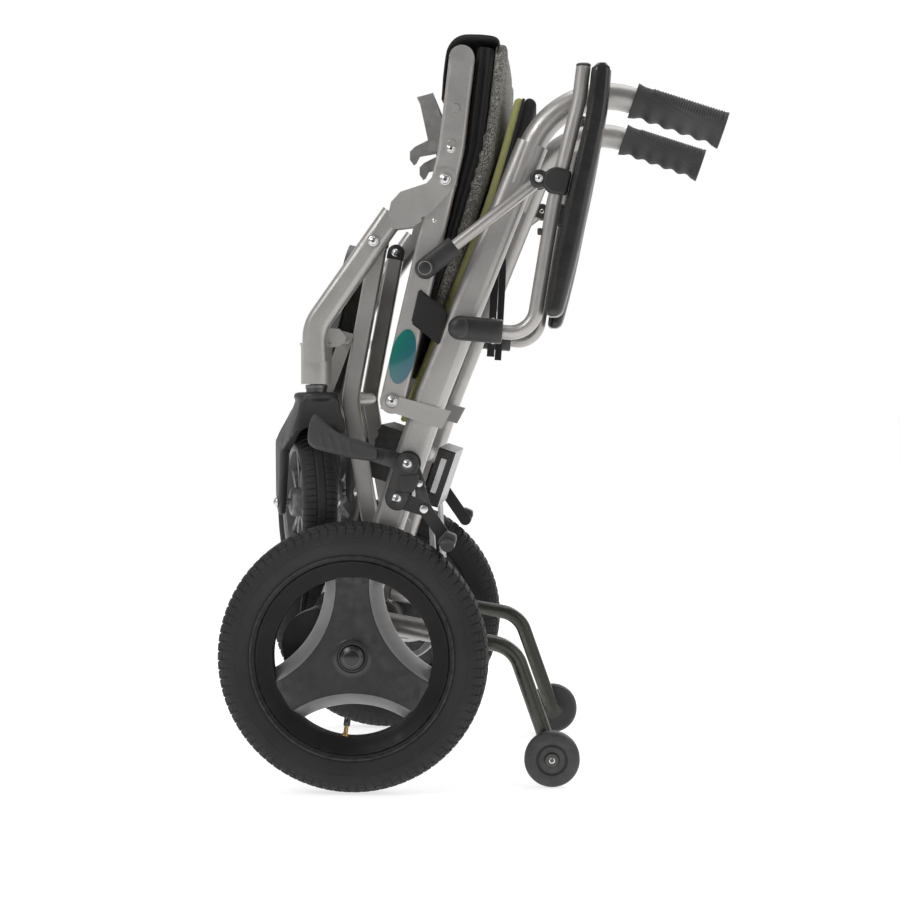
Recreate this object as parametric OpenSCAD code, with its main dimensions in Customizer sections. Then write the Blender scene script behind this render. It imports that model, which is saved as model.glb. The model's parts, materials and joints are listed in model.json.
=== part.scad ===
// Folding transport wheelchair with geared rear wheels, shown folded and standing on its
// rear wheels and anti-tip wheels. Millimetres. +X rearward, +Y to the occupant's right,
// +Z up; the origin is on the ground below the middle of the rear axle.

/* [Overall] */
// Half distance between the left and right main tubes
frame_half = 220; // [190:1:250]
// Height of the rear axle
axle_z = 160; // [140:1:180]
// Corner radius of a seat rail
rail_corner = 4; // [2:1:10]

/* [Rear frame] */
// Width of the back tube
back_tube_d = 38; // [25:0.5:42]
// Thickness of the back tube across the chair
back_tube_t = 28; // [22:0.5:30]
// Corner radius of the back tube
back_tube_r = 10; // [6:0.5:12]
// Width of the push handle tube
handle_d = 31; // [22:0.5:34]
// Lower end of the back tube, rearward and up
back_foot = [-6.5, 181.3]; // [-50:0.1:900]
// Slight bend of the back tube
back_bend = [87.6, 459.3]; // [-50:0.1:900]
// Top of the back tube sleeve
back_top = [209, 762.8]; // [-50:0.1:900]
// Corner of the push handle bend
handle_corner = [241.1, 843]; // [-50:0.1:900]
// End of the push handle tube
handle_end = [425, 780.7]; // [-50:0.1:900]
// Radius of the push handle bend
handle_bend = 97; // [60:1:120]
// Push grip length
grip_length = 112; // [90:1:130]

/* [Pivots] */
// Seat rail pivot on the back tube
seat_pivot = [43.2, 458.7]; // [-50:0.1:900]
// Leg pivot on the seat rail
leg_pivot = [106.1, 720.1]; // [-50:0.1:900]
// Strut pivot on the leg
strut_top = [21, 648]; // [-50:0.1:900]
// Strut pivot on the rear frame
strut_foot = [30.1, 289.4]; // [-50:0.1:900]
// Armrest pivot on the back tube
arm_pivot = [125, 544.4]; // [-50:0.1:900]
// Arm support pivot on the seat rail
support_foot = [83.4, 614.7]; // [-50:0.1:900]
// Arm support bolt at the armrest clip
support_top = [216.9, 717.7]; // [-50:0.1:900]
// Radial running clearance of every pivot
running = 0.05; // [0.02:0.01:0.1]

/* [Seat] */
// Seat rail width in side view
rail_w = 30; // [24:0.5:34]
// Seat rail thickness across the chair
rail_t = 25; // [18:0.5:27]
// Bend of the seat rail
rail_bend = [112.5, 755]; // [-50:0.1:900]
// Centre of the seat rail's rounded top end
rail_top = [125.3, 864]; // [-50:0.1:900]
// Half width of the seat cushion
cushion_half = 202; // [150:1:204]
// Thickness of the cushion at its front edge
cushion_t = 46; // [30:1:50]

/* [Legs] */
// Leg tube width in side view
leg_d = 29; // [22:0.5:32]
// Leg tube thickness across the chair
leg_t = 27; // [20:0.5:28]
// Leg tube corner radius
leg_r = 8; // [4:0.5:11]
// Top end of the leg tube
leg_top = [44, 680.6]; // [-50:0.1:900]
// Bend of the leg tube
leg_bend = [-50, 547.3]; // [-60:0.1:900]
// Distance of the caster swivel axes from the middle
swivel_half = 203; // [195:1:215]
// Strut bar width in side view
strut_d = 21; // [16:0.5:24]
// Strut bar thickness across the chair
strut_t = 18; // [10:0.5:22]
// Distance of the struts from the middle
strut_half = 150; // [140:1:160]
// Middle bend of the strut
strut_bend = [-14, 460]; // [-50:0.1:900]
// Lower bend of the strut
strut_low = [10.4, 313.6]; // [-50:0.1:900]

/* [Wheels] */
// Rear tyre outer radius
tyre_r = 159; // [150:0.5:160]
// Distance of the rear wheels from the middle
wheel_half = 275; // [270:1:290]
// Rear tyre section width
tyre_w = 57; // [45:0.5:60]
// Radius of the opening inside the rear rim
rim_open_r = 94; // [85:0.5:100]
// Width of a wheel spoke
spoke_w = 41; // [25:0.5:45]
// Rear axle pin radius
axle_r = 10; // [8:0.5:12]
// Caster tyre outer radius
caster_r = 95; // [80:0.5:95]
// Caster tyre width
caster_w = 42; // [30:0.5:43]
// Caster axle height when folded
caster_z = 335; // [330:0.5:340]
// Distance from the swivel axis to the caster axle
trail = 60; // [50:1:65]
// Direction of the caster trail when folded, from rearward towards the middle
trail_angle = 107; // [95:0.5:110]
// Anti-tip wheel radius
tip_r = 33; // [28:0.5:34]
// Anti-tip wheel centre
tip_wheel = [232.7, 34]; // [0:0.1:300]

/* [Footplate] */
// Footplate hinge
foot_hinge = [-62, 450]; // [-80:0.1:460]
// Footplate length from the hinge
foot_length = 207; // [150:1:210]
// Footplate lean from upright
foot_lean = 13.6; // [0:0.1:14]
// Footplate half width
foot_half = 120; // [100:1:120]

/* [Brakes and latch] */
// Brake lever pivot
brake_pivot = [62.6, 385]; // [0:0.1:400]
// Brake shoe arm pivot
shoe_pivot = [50, 344.4]; // [0:0.1:400]
// Latch pivot
latch_pivot = [87, 772.6]; // [0:0.1:900]

/* [Hidden] */
$fn = 48;
silver = [0.60, 0.59, 0.57];
black = [0.07, 0.07, 0.07];
dark = [0.16, 0.16, 0.17];

// ---- helpers: paths lie in the side plane, points are [rearward, up] ----
function dir(a, b) = (b - a) / norm(b - a);
function turn(p, i) = acos(min(1, dir(p[i - 1], p[i]) * dir(p[i], p[i + 1])));
function side(p, i) = let(a = dir(p[i - 1], p[i]), b = dir(p[i], p[i + 1]))
  a[0] * b[1] - a[1] * b[0] > 0 ? 1 : -1;
function corner(w, h, r) = [for (q = [[1, 1, 0], [-1, 1, 90], [-1, -1, 180], [1, -1, 270]])
  for (k = [0:3]) [q[0] * (w / 2 - r) + r * cos(q[2] + k * 30),
                   q[1] * (h / 2 - r) + r * sin(q[2] + k * 30)]];
function xb(z) = z < rail_bend[1]
  ? seat_pivot[0] + (z - seat_pivot[1]) * (rail_bend[0] - seat_pivot[0]) / (rail_bend[1] - seat_pivot[1])
  : rail_bend[0] + (z - rail_bend[1]) * (rail_top[0] - rail_bend[0]) / (rail_top[1] - rail_bend[1]);

// puts z along a side-plane direction, starting at a point
module along(p, d)
  multmatrix([[d[1], 0, d[0], p[0]], [0, 1, 0, 0], [-d[0], 0, d[1], p[1]], [0, 0, 0, 1]]) children();

module section(w, h, r) {
  if (r * 2 >= w) circle(d = w);
  else polygon(corner(w, h, r));
}

// a bent bar through the points, with one bend radius for each inner point
module bar(p, bends, w, h, r, y = 0, g = 0.04) translate([0, y, 0]) {
  n = len(p);
  for (i = [0:n - 2]) {
    d = dir(p[i], p[i + 1]);
    t0 = i == 0 ? 0 : bends[i - 1] * tan(turn(p, i) / 2) - 0.6;
    t1 = i == n - 2 ? 0 : bends[i] * tan(turn(p, i + 1) / 2) - 0.6;
    along(p[i] + d * t0, d) linear_extrude(norm(p[i + 1] - p[i]) - t0 - t1) section(w, h, r);
  }
  for (i = [1:1:n - 2]) {
    d = dir(p[i - 1], p[i]);
    b = bends[i - 1];
    s = side(p, i);
    u = s > 0 ? [d[1], -d[0]] : [-d[1], d[0]];
    c = p[i] - d * b * tan(turn(p, i) / 2) - u * b;
    multmatrix([[u[0], d[0], 0, c[0]], [0, 0, -s, 0], [u[1], d[1], 0, c[1]], [0, 0, 0, 1]])
      rotate_extrude(angle = turn(p, i), $fn = 96) translate([b, 0])
        section(w + 2 * g, h + 2 * g, r + g);
  }
}

module tube(p, bends, d, y = 0, g = 0.04) bar(p, bends, d, d, d, y, g);

// a round pin or boss along Y from y0 to y1 at a side-plane point
module pin(p, y0, y1, r) translate([p[0], max(y0, y1), p[1]]) rotate([90, 0, 0])
  cylinder(h = abs(y1 - y0), r = r);

// a flat plate in the side plane between y0 and y1
module plate(y0, y1) translate([0, max(y0, y1), 0]) rotate([90, 0, 0])
  linear_extrude(abs(y1 - y0)) children();

// a flat link with round ends between two points
module link2d(a, b, ra, rb) {
  d = dir(a, b);
  n = [-d[1], d[0]];
  translate(a) circle(r = ra);
  translate(b) circle(r = rb);
  polygon([a + n * (ra - 0.2), b + n * (rb - 0.2), b - n * (rb - 0.2), a - n * (ra - 0.2)]);
}

module hexhead(p, y0, h, r) translate([p[0], y0, p[1]]) rotate([90, 0, 0]) cylinder(h = h, r = r, $fn = 6);

module domehead(p, y0, h, r) translate([p[0], y0, p[1]]) rotate([90, 0, 0])
  cylinder(h = h, r1 = r, r2 = r * 0.72);

// ---- rear frame ----
rail_path = [seat_pivot, rail_bend, rail_top];
back_path = [back_foot, back_bend, back_top];
handle_path = [[190, 715.3], handle_corner, handle_end];
hand_dir = dir(handle_corner, handle_end);
grip_start = handle_corner + hand_dir * 91.5;
tip_dir = dir([20, 195.2], [90, 182.2]);

module back_tube() {
  difference() {
    union() {
      bar(back_path, [260], back_tube_d, back_tube_t, back_tube_r, -frame_half, 0.25);
      tube(handle_path, [handle_bend], handle_d, -frame_half, 0.25);
      pin([0, axle_z], -199, -244, 24);
      pin([0, axle_z], -243, -297, axle_r);
      translate([0, -205, 0]) along([12, 196.7], tip_dir) cylinder(h = 79, r = 13);
      for (y = [-233.2, -203]) plate(y - 3.8, y)
        polygon([[29, 450], [33, 462], [40, 467], [112, 447], [101, 426]]);
      pin(seat_pivot, -201, -240, 5);
      domehead(seat_pivot, -236.8, 3.6, 9);
      pin(arm_pivot, -231, -281.5, 5);
      pin(arm_pivot, -231, -255, 9);
    }
    translate([0, -205, 0]) along([32, 193], tip_dir) cylinder(h = 80, r = 9.6);
  }
  domehead(arm_pivot, -280.6, 3, 9);
}
module back_tube_left() color(silver) back_tube();
module back_tube_right() color(silver) mirror([0, 1, 0]) back_tube();

module rear_cross_tubes() color(silver) {
  pin([62.6, 386], -205.8, 205.8, 9.5);
  pin([16.8, 250], -205.8, 205.8, 11);
  for (s = [-1, 1]) {
    for (a = [134, 162.5]) plate(s * a, s * (a + 3.5)) link2d([16.8, 250], strut_foot, 15, 13);
    pin(strut_foot, s * 132, s * 168, 5);
  }
}

module push_grip() translate([0, -frame_half, 0]) along(grip_start, hand_dir) difference() {
  union() {
    cylinder(h = grip_length, r1 = 19.5, r2 = 20.5);
    cylinder(h = 5, r = 22);
    translate([0, 0, grip_length - 7]) cylinder(h = 7, r = 22);
    for (k = [0:8]) translate([-20.2, -7, 16 + k * 9.5]) cube([2.2, 14, 4.5]);
  }
  translate([0, 0, -1]) cylinder(h = 105, r = handle_d / 2 + 0.3);
}
module push_grip_left() color(dark) push_grip();
module push_grip_right() color(dark) mirror([0, 1, 0]) push_grip();

module gearmotor() {
  pin([-50, 165], -105, -180, 40);
  pin([-50, 165], -101, -105.5, 33);
  plate(-172, -198.9) {
    translate([-50, 165]) circle(r = 43);
    translate([0, axle_z]) circle(r = 22.5);
    polygon([[-50, 207.5], [0, 182.2], [0, 137.8], [-50, 122.5]]);
  }
}
module gearmotor_left() color(dark) gearmotor();
module gearmotor_right() color(dark) mirror([0, 1, 0]) gearmotor();

module anti_tip_arms() color([0.13, 0.14, 0.10]) for (s = [-1, 1]) {
  tube([[45, 190.56], [186.6, 164.3], tip_wheel], [38], 19, s * 205);
  pin(tip_wheel, s * 197, s * 215, 11);
  pin(tip_wheel, s * 214, s * 243, 5);
  pin(tip_wheel, s * 240.2, s * 243.5, 8);
}

back_lean = dir(back_foot, back_bend);
module battery_case() color(black) difference() {
  translate([0, -118, 0]) along([30, 392] - back_lean * 33, back_lean)
    union() {
      translate([-20, 0, 0]) cube([40, 236, 66]);
      for (k = [0:4]) translate([-22, 8, 6 + k * 12]) cube([2.5, 220, 6]);
    }
  pin([62.6, 386], -120, 120, 10.2);
}

module controller_box() color([0.10, 0.10, 0.11])
  translate([0, -118, 0]) along([92, 364] - back_lean * 36, back_lean) {
    translate([-11, 0, 0]) cube([22, 236, 72]);
    translate([-14, 20, 20]) cube([4, 196, 30]);
  }

// backrest layers follow one straight front line
rest_low = [47, 429];
rest_high = [204, 829];
rest_d = dir(rest_low, rest_high);
rest_n = [rest_d[1], -rest_d[0]];
module slab(a, b, half) plate(-half, half) polygon([rest_low + rest_n * a, rest_high + rest_n * a,
  rest_high + rest_n * b, rest_low + rest_n * b]);
module backrest_band() color([0.62, 0.58, 0.22]) slab(0, 9, 194);
module backrest_pad() color(black) slab(9.2, 23, 196);
module backrest_flap() color([0.05, 0.05, 0.05]) {
  plate(-197, 197) polygon([[82.1, 443.2], [86.3, 441.5], [185.7, 694.7], [181.5, 696.4]]);
  for (s = [-1, 1]) plate(s * 168, s * 192) polygon([[156.5, 512], [159.5, 512], [167, 630], [168.2, 650],
    [163.8, 650], [163.2, 630]]);
}

module motor_cables() color([0.55, 0.55, 0.56]) for (s = [-1, 1])
  tube([[82, 325], [86, 172], [40, 142], [-12, 150]], [22, 22], 7, s * 112);

module brake_brackets() color(black) for (s = [-1, 1]) {
  plate(s * 234.2, s * 243.6) link2d(brake_pivot, shoe_pivot, 15, 15);
  for (p = [brake_pivot, shoe_pivot]) {
    pin(p, s * 240, s * 257, 5);
    pin(p, s * 243, s * 246.6, 9);
  }
  pin(brake_pivot, s * 251.6, s * 258.5, 9);
  pin(shoe_pivot, s * 256.6, s * 259.5, 9);
}

// ---- seat ----
module rail_solid(g = 0) bar(rail_path, [150], rail_w + g, rail_t + g, rail_corner, -frame_half);
module seat_rail() {
  difference() {
    union() {
      rail_solid();
      pin(seat_pivot, -frame_half - rail_t / 2, -frame_half + rail_t / 2, rail_w / 2);
      pin(rail_top, -frame_half - rail_t / 2, -frame_half + rail_t / 2, rail_w / 2);
      pin(support_foot, -231, -261, 5);
      pin(support_foot, -231, -242.6, 8);
      pin(support_foot, -259.6, -263, 8);
      for (z = [763, 805]) domehead([xb(z), z], -232, 3, 6);
    }
    pin(seat_pivot, -200, -240, 5 + running);
    pin(leg_pivot, -200, -240, 6 + running);
  }
}
module seat_rail_left() color(silver) seat_rail();
module seat_rail_right() color(silver) mirror([0, 1, 0]) seat_rail();

module seat_cross_tubes() color(silver) {
  pin([118, 812], -207.4, 207.4, 10);
  pin([xb(560) - 2, 560], -207.4, 207.4, 9);
  for (s = [-1, 1]) {
    plate(s * 96, s * 100) link2d([118, 812], latch_pivot, 11, 9);
    pin(latch_pivot, s * 94, s * 109, 4);
    pin(latch_pivot, s * 106.6, s * 109, 7);
  }
}

zs = [545, 560, 600, 650, 700, 755, 800, 896];
ts = [8, 12, 18.5, 26, 33.5, 40.5, cushion_t, cushion_t];
module seat_cushion() color([0.33, 0.33, 0.34]) plate(-cushion_half, cushion_half)
  polygon(concat([for (i = [0:7]) [xb(zs[i]) + 15.6, zs[i]]],
                 [for (i = [7:-1:0]) [xb(zs[i]) + 15.6 + ts[i], zs[i]]]));

module seat_sling() color([0.05, 0.05, 0.05]) plate(-203, 203) {
  polygon(concat([for (z = [484, 600, 700, 755, 876]) [xb(z) + 10.5, z]],
                 [for (z = [876, 755, 700, 600, 484]) [xb(z) + 15, z]]));
  polygon([[99.5, 817], [106, 872], [112, 884], [125, 890], [142.4, 886], [140.9, 872], [137, 872],
           [138.5, 882], [126, 885.5], [115, 880], [110, 870], [104, 816]]);
}

module badge() translate([xb(511), -frame_half - rail_t / 2 - 0.8, 511]) rotate([90, 13.2, 180])
  translate([0, 0, -0.75]) linear_extrude(0.7) polygon([for (a = [0:12:348]) [10.5 * cos(a), 31 * sin(a)]]);
module badge_left() color([0.10, 0.42, 0.42]) badge();
module badge_right() color([0.10, 0.42, 0.42]) mirror([0, 1, 0]) badge();

module rail_straps() color([0.04, 0.04, 0.04]) for (s = [-1, 1]) mirror([0, s > 0 ? 1 : 0, 0]) difference() {
  d = dir(seat_pivot, rail_bend);
  translate([0, -frame_half, 0]) along([xb(545), 545], d) translate([0, 0, -2])
    linear_extrude(44) square([rail_w + 5, rail_t + 5], center = true);
  rail_solid(0.6);
  plate(-200, -207.4) polygon([[40, 480], [140, 480], [140, 620], [40, 620]]);
}

// ---- front leg ----
module leg_plate2d() {
  polygon([[37, 672], [45, 662], [69, 665], [78, 671], [97, 689], [114, 708], [108, 733], [94, 727],
    [84, 716], [53, 706], [42, 694]]);
  translate(leg_pivot) circle(r = 13.5);
}
module leg() difference() {
  union() {
    bar([leg_top, leg_bend, [-50, 506]], [45], leg_d, leg_t, leg_r, -frame_half);
    translate([-50, -swivel_half, 479]) cylinder(h = 47, r = 18.5);
    translate([-50, -swivel_half, 525]) cylinder(h = 3, r1 = 18.5, r2 = 16);
    plate(-232.9, -236.4) leg_plate2d();
    plate(-203.6, -207.1) leg_plate2d();
    pin(leg_pivot, -201, -239, 6);
    pin(strut_top, -210, -164.5, 8);
    domehead(leg_pivot, -236, 4, 9.5);
    domehead(strut_top, -233, 4, 8);
    plate(-202.1, -208) polygon([[-50, 521], [-50, 547], [-22, 545], [-13, 535], [-22, 524]]);
  }
  translate([-50, -swivel_half, 478]) cylinder(h = 39, r = 8 + running);
  pin([80.5, 674], -241, -232, 2.8);
}
module leg_left() color(silver) leg();
module leg_right() color(silver) mirror([0, 1, 0]) leg();

module leg_cross_tubes() color(silver) {
  pin([-22.5, 535], -202, 202, 8.5);
  pin([77.6, 684.5], -203.5, 203.5, 5);
  for (s = [-1, 1]) {
    plate(s * 122.2, s * 126) polygon([[-28, 541], [-17, 541], [-14, 531], [-44, 452], [-52, 444],
      [-66, 442.5], [-70.5, 450], [-66, 458], [-56, 464]]);
    pin(foot_hinge, s * 125, s * 108, 5);
  }
}

module strut_frame() color(silver) {
  difference() {
    union() {
      for (s = [-1, 1]) {
        bar([strut_top, strut_bend, strut_low, strut_foot], [60, 30], strut_d, strut_t, 3, s * strut_half);
        pin(strut_foot, s * 138.4, s * 161.6, 12);
      }
      pin(strut_bend + [2, 0], -150, 150, 8);
    }
    for (s = [-1, 1]) pin(strut_foot, s * 130, s * 170, 5 + running);
  }
}
module strut_caps() color(black) for (s = [-1, 1]) translate([0, s * strut_half, 0])
  along(strut_top + dir(strut_bend, strut_top) * 0.1, dir(strut_bend, strut_top)) cylinder(h = 9, r1 = 12, r2 = 9);

// ---- armrests ----
arm_path = [[174.6, 539.7], [209, 536.4], [234, 690], [264, 811], [268.5, 848]];
arm_dir = dir(arm_pivot, arm_path[0]);
module arm_tube_left() color(silver) tube(arm_path, [30, 120, 120], 17, -268);
module arm_tube_right() color(silver) tube(arm_path, [30, 120, 120], 17, 268);
module arm_pad() plate(-245, -291) polygon([[279, 850], [272.5, 800], [262.6, 752], [249, 694],
  [237.5, 636], [229, 589], [224, 563], [227, 557], [234, 557], [247.4, 583], [262.6, 635.7],
  [274.3, 694.2], [286, 752.7], [294.2, 811.2], [298, 842], [294, 850]]);
module arm_pad_left() color([0.05, 0.05, 0.05]) arm_pad();
module arm_pad_right() color([0.05, 0.05, 0.05]) mirror([0, 1, 0]) arm_pad();
module arm_fitting() {
  clip_dir = dir(arm_path[2], arm_path[3]);
  difference() {
    union() {
      pin(arm_pivot, -255.6, -280.4, 14.6);
      translate([0, -268, 0]) along(arm_pivot, arm_dir) translate([-14, -12.2, 0]) cube([28, 24.4, 49.5]);
    }
    pin(arm_pivot, -250, -290, 5 + running);
  }
  difference() {
    union() {
      translate([0, -268, 0]) along(arm_path[2] + clip_dir * 10, clip_dir) translate([-13, -12, 0])
        cube([26, 24, 30]);
      plate(-260.6, -275.5) polygon([[233, 725], [216, 727], [216, 709], [231, 706]]);
      pin(support_top, -260.6, -275.5, 11);
    }
    translate([0, -268, 0]) along(arm_path[2], clip_dir) cylinder(h = 60, r = 8.6);
  }
  domehead(support_top, -275.3, 3, 6);
}
module arm_fitting_left() color(black) arm_fitting();
module arm_fitting_right() color(black) mirror([0, 1, 0]) arm_fitting();

sup_dir = dir(support_foot, support_top);
module support_tube() difference() {
  union() {
    tube([support_foot + sup_dir * 44.2, support_top], [], 16, -251);
    pin(support_top, -243.2, -259.2, 10);
  }
}
module support_tube_left() color(silver) support_tube();
module support_tube_right() color(silver) mirror([0, 1, 0]) support_tube();
module support_sleeve() difference() {
  union() {
    translate([0, -251, 0]) along(support_foot, sup_dir) cylinder(h = 44, r = 8.1);
    translate([0, -251, 0]) along(support_foot, sup_dir) translate([-13, -8, 0]) cube([26, 16, 43]);
    pin(support_foot, -243, -259.2, 13);
  }
  pin(support_foot, -240, -262, 5 + running);
}
module support_sleeve_left() color(black) support_sleeve();
module support_sleeve_right() color(black) mirror([0, 1, 0]) support_sleeve();

// ---- latch and footplate ----
module latch_lever() color([0.45, 0.45, 0.45]) difference() {
  union() {
    for (s = [-1, 1]) plate(s * 103, s * 106) polygon([[67, 834], [78.6, 780], [62.5, 772], [56.3, 766],
      [56.3, 756], [61.2, 749], [64.5, 751.5], [68.7, 759.7], [90.9, 763.5], [97, 770], [100, 793], [86, 836]]);
    plate(-106, 106) polygon([[65, 833], [66, 830], [86, 835], [85, 838.4]]);
  }
  pin(latch_pivot, -120, 120, 4 + running);
}

foot_dir = [sin(foot_lean), cos(foot_lean)];
module footplate_board() color([0.10, 0.10, 0.10]) difference() {
  union() {
    along(foot_hinge, foot_dir) translate([-6, 0, 0]) rotate([90, 0, 90]) linear_extrude(12)
      polygon(concat([[-foot_half, 0], [foot_half, 0]],
        [for (a = [0:10:90]) [foot_half - 35 + 35 * cos(a), foot_length - 35 + 35 * sin(a)]],
        [for (a = [90:10:180]) [-foot_half + 35 + 35 * cos(a), foot_length - 35 + 35 * sin(a)]]));
    pin(foot_hinge, 1 - foot_half, foot_half - 1, 7);
  }
  pin(foot_hinge, -foot_half - 1, -106, 5 + running);
  pin(foot_hinge, foot_half + 1, 106, 5 + running);
}
module footplate_mat() color([0.03, 0.03, 0.03]) along(foot_hinge, foot_dir) {
  translate([6.1, -foot_half + 14, 20]) cube([1.4, foot_half * 2 - 28, foot_length - 50]);
  for (k = [0:10]) translate([7.2, -foot_half + 17 + k * 19.2, 24]) cube([1.4, 10, foot_length - 58]);
}

// ---- rear wheels, built about the wheel's own centre with its outer side at -Y ----
module at_axle() translate([0, -wheel_half, axle_z]) rotate([90, 0, 0]) children();
module rear_tyre() at_axle() rotate_extrude($fn = 96) polygon([[113, -19], [113, 19], [120, 23.5], [130, 27.5],
  [139, tyre_w / 2], [148, 27], [154.5, 21], [tyre_r - 0.8, 12], [tyre_r, 5], [tyre_r, -5],
  [tyre_r - 0.8, -12], [154.5, -21], [148, -27], [139, -tyre_w / 2], [130, -27.5], [120, -23.5]]);
module rear_tyre_left() color([0.05, 0.05, 0.05]) rear_tyre();
module rear_tyre_right() color([0.05, 0.05, 0.05]) mirror([0, 1, 0]) rear_tyre();
module rear_rim() at_axle() difference() {
  union() {
    rotate_extrude($fn = 96) polygon([[rim_open_r, -20], [rim_open_r, 20], [100, 21], [112.9, 22.5],
      [112.9, -22.5], [100, -21]]);
    for (a = [90, 210, 330]) rotate(a) translate([0, -spoke_w / 2, -15]) cube([95.5, spoke_w, 28]);
    translate([0, 0, -15]) cylinder(h = 28, r = 38);
    translate([0, 0, -28]) cylinder(h = 44, r = 27);
  }
  translate([0, 0, -40]) cylinder(h = 80, r = axle_r + running);
  for (a = [90, 210, 330]) rotate(a) translate([48, -12, 9]) cube([38, 24, 10]);
}
module rear_rim_left() color(dark) rear_rim();
module rear_rim_right() color(dark) mirror([0, 1, 0]) rear_rim();
module hub_cap() at_axle() {
  difference() {
    translate([0, 0, 16.2]) cylinder(h = 9, r1 = 17, r2 = 13);
    translate([0, 0, 15]) cylinder(h = 8, r = axle_r + 1);
  }
  translate([0, 0, 25]) cylinder(h = 2, r = 12);
  rotate(240) translate([93.8, 0, 6]) rotate([0, -90, 0]) cylinder(h = 22, r = 3.2);
  rotate(240) translate([72, 0, 6]) rotate([0, -90, 0]) cylinder(h = 9, r = 4.2);
}
module hub_cap_left() color([0.12, 0.12, 0.12]) hub_cap();
module hub_cap_right() color([0.12, 0.12, 0.12]) mirror([0, 1, 0]) hub_cap();

// ---- casters, built with the trail along +X from the swivel axis ----
module at_swivel() translate([-50, -swivel_half, 0]) rotate(trail_angle) children();
module caster_fork() at_swivel() {
  translate([0, 0, 460]) cylinder(h = 9, r = 27.5);
  translate([0, 0, 468]) cylinder(h = 10.8, r = 12);
  translate([0, 0, 478]) cylinder(h = 37, r = 8);
  translate([-22, 0, 0]) rotate([90, 0, 90]) linear_extrude(91) polygon([[-25, 461], [25, 461],
    [31, 449], [36.5, 433], [-36.5, 433], [-31, 449]]);
  for (s = [-1, 1]) {
    translate([0, s > 0 ? 36.5 : -26.5, 0]) rotate([90, 0, 0]) linear_extrude(10) polygon([[44, 442],
      [68, 442], [73, 430], [73, 380], [72, 335], [66, 322], [54, 322], [48, 335], [46, 380]]);
    translate([trail, s * 38.2, caster_z]) rotate([90, 0, 0]) cylinder(h = 3.6, r = 7.5, center = true);
  }
  translate([trail, 0, caster_z]) rotate([90, 0, 0]) cylinder(h = 70, r = 6, center = true);
}
module caster_fork_left() color([0.14, 0.14, 0.14]) caster_fork();
module caster_fork_right() color([0.14, 0.14, 0.14]) mirror([0, 1, 0]) caster_fork();
module at_caster() at_swivel() translate([trail, 0, caster_z]) rotate([90, 0, 0]) children();
module caster_tyre() at_caster() rotate_extrude($fn = 96) polygon([[72.1, -15], [72.1, 15], [78, 19.5],
  [84, caster_w / 2], [90, 19.5], [94, 14], [caster_r, 6], [caster_r, -6], [94, -14], [90, -19.5],
  [84, -caster_w / 2], [78, -19.5]]);
module caster_tyre_left() color([0.05, 0.05, 0.05]) caster_tyre();
module caster_tyre_right() color([0.05, 0.05, 0.05]) mirror([0, 1, 0]) caster_tyre();
module caster_hub() at_caster() difference() {
  union() {
    rotate_extrude($fn = 96) polygon([[62, -14], [62, 14], [72, 16], [72, -16]]);
    translate([0, 0, -22]) cylinder(h = 44, r = 17);
    for (a = [0:60:300]) rotate(a) translate([10, -4.5, -11]) cube([53.5, 9, 22]);
  }
  translate([0, 0, -30]) cylinder(h = 60, r = 6 + running);
}
module caster_hub_left() color([0.5, 0.5, 0.5]) caster_hub();
module caster_hub_right() color([0.5, 0.5, 0.5]) mirror([0, 1, 0]) caster_hub();

module anti_tip_wheel() translate([tip_wheel[0], -228, tip_wheel[1]]) rotate([90, 0, 0]) difference() {
  union() {
    rotate_extrude() polygon([[8, -11], [tip_r - 3, -11], [tip_r, -8], [tip_r, 8], [tip_r - 3, 11], [8, 11]]);
    translate([0, 0, -12]) cylinder(h = 24, r = 10);
  }
  translate([0, 0, -20]) cylinder(h = 40, r = 5 + running);
  translate([0, 0, 9.5]) rotate_extrude() translate([16, 0]) square([3, 4]);
}
module anti_tip_wheel_left() color([0.10, 0.10, 0.11]) anti_tip_wheel();
module anti_tip_wheel_right() color([0.10, 0.10, 0.11]) mirror([0, 1, 0]) anti_tip_wheel();

// ---- brakes ----
module brake_lever() {
  difference() {
    plate(-247, -251.4) {
      link2d(brake_pivot, [76.3, 362.1], 12, 7);
      link2d(brake_pivot, [0, 402], 11, 7);
    }
    pin(brake_pivot, -240, -260, 5 + running);
  }
  plate(-247.2, -262) polygon([[-46.4, 443.6], [-50.5, 439], [-53.4, 430.7], [-55, 420], [-54.6, 411], [-51, 406],
    [-46.4, 402.8], [-5.2, 391.9], [18.3, 388.4], [26, 389], [26, 404], [18.3, 409.6], [-10, 418],
    [-22.9, 424.8], [-35, 436], [-40.5, 441]]);
}
module brake_lever_left() color(dark) brake_lever();
module brake_lever_right() color(dark) mirror([0, 1, 0]) brake_lever();
module brake_shoe() {
  difference() {
    plate(-252, -256.4) {
      link2d(shoe_pivot, [84, 331], 11, 8);
      link2d([84, 331], [111, 292], 8, 8);
    }
    pin(shoe_pivot, -240, -260, 5 + running);
  }
  pin([81, 332.6], -251.8, -259, 5);
  pin([111, 292], -253, -296, 8);
}
module brake_shoe_left() color([0.11, 0.11, 0.11]) brake_shoe();
module brake_shoe_right() color([0.11, 0.11, 0.11]) mirror([0, 1, 0]) brake_shoe();

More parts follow.
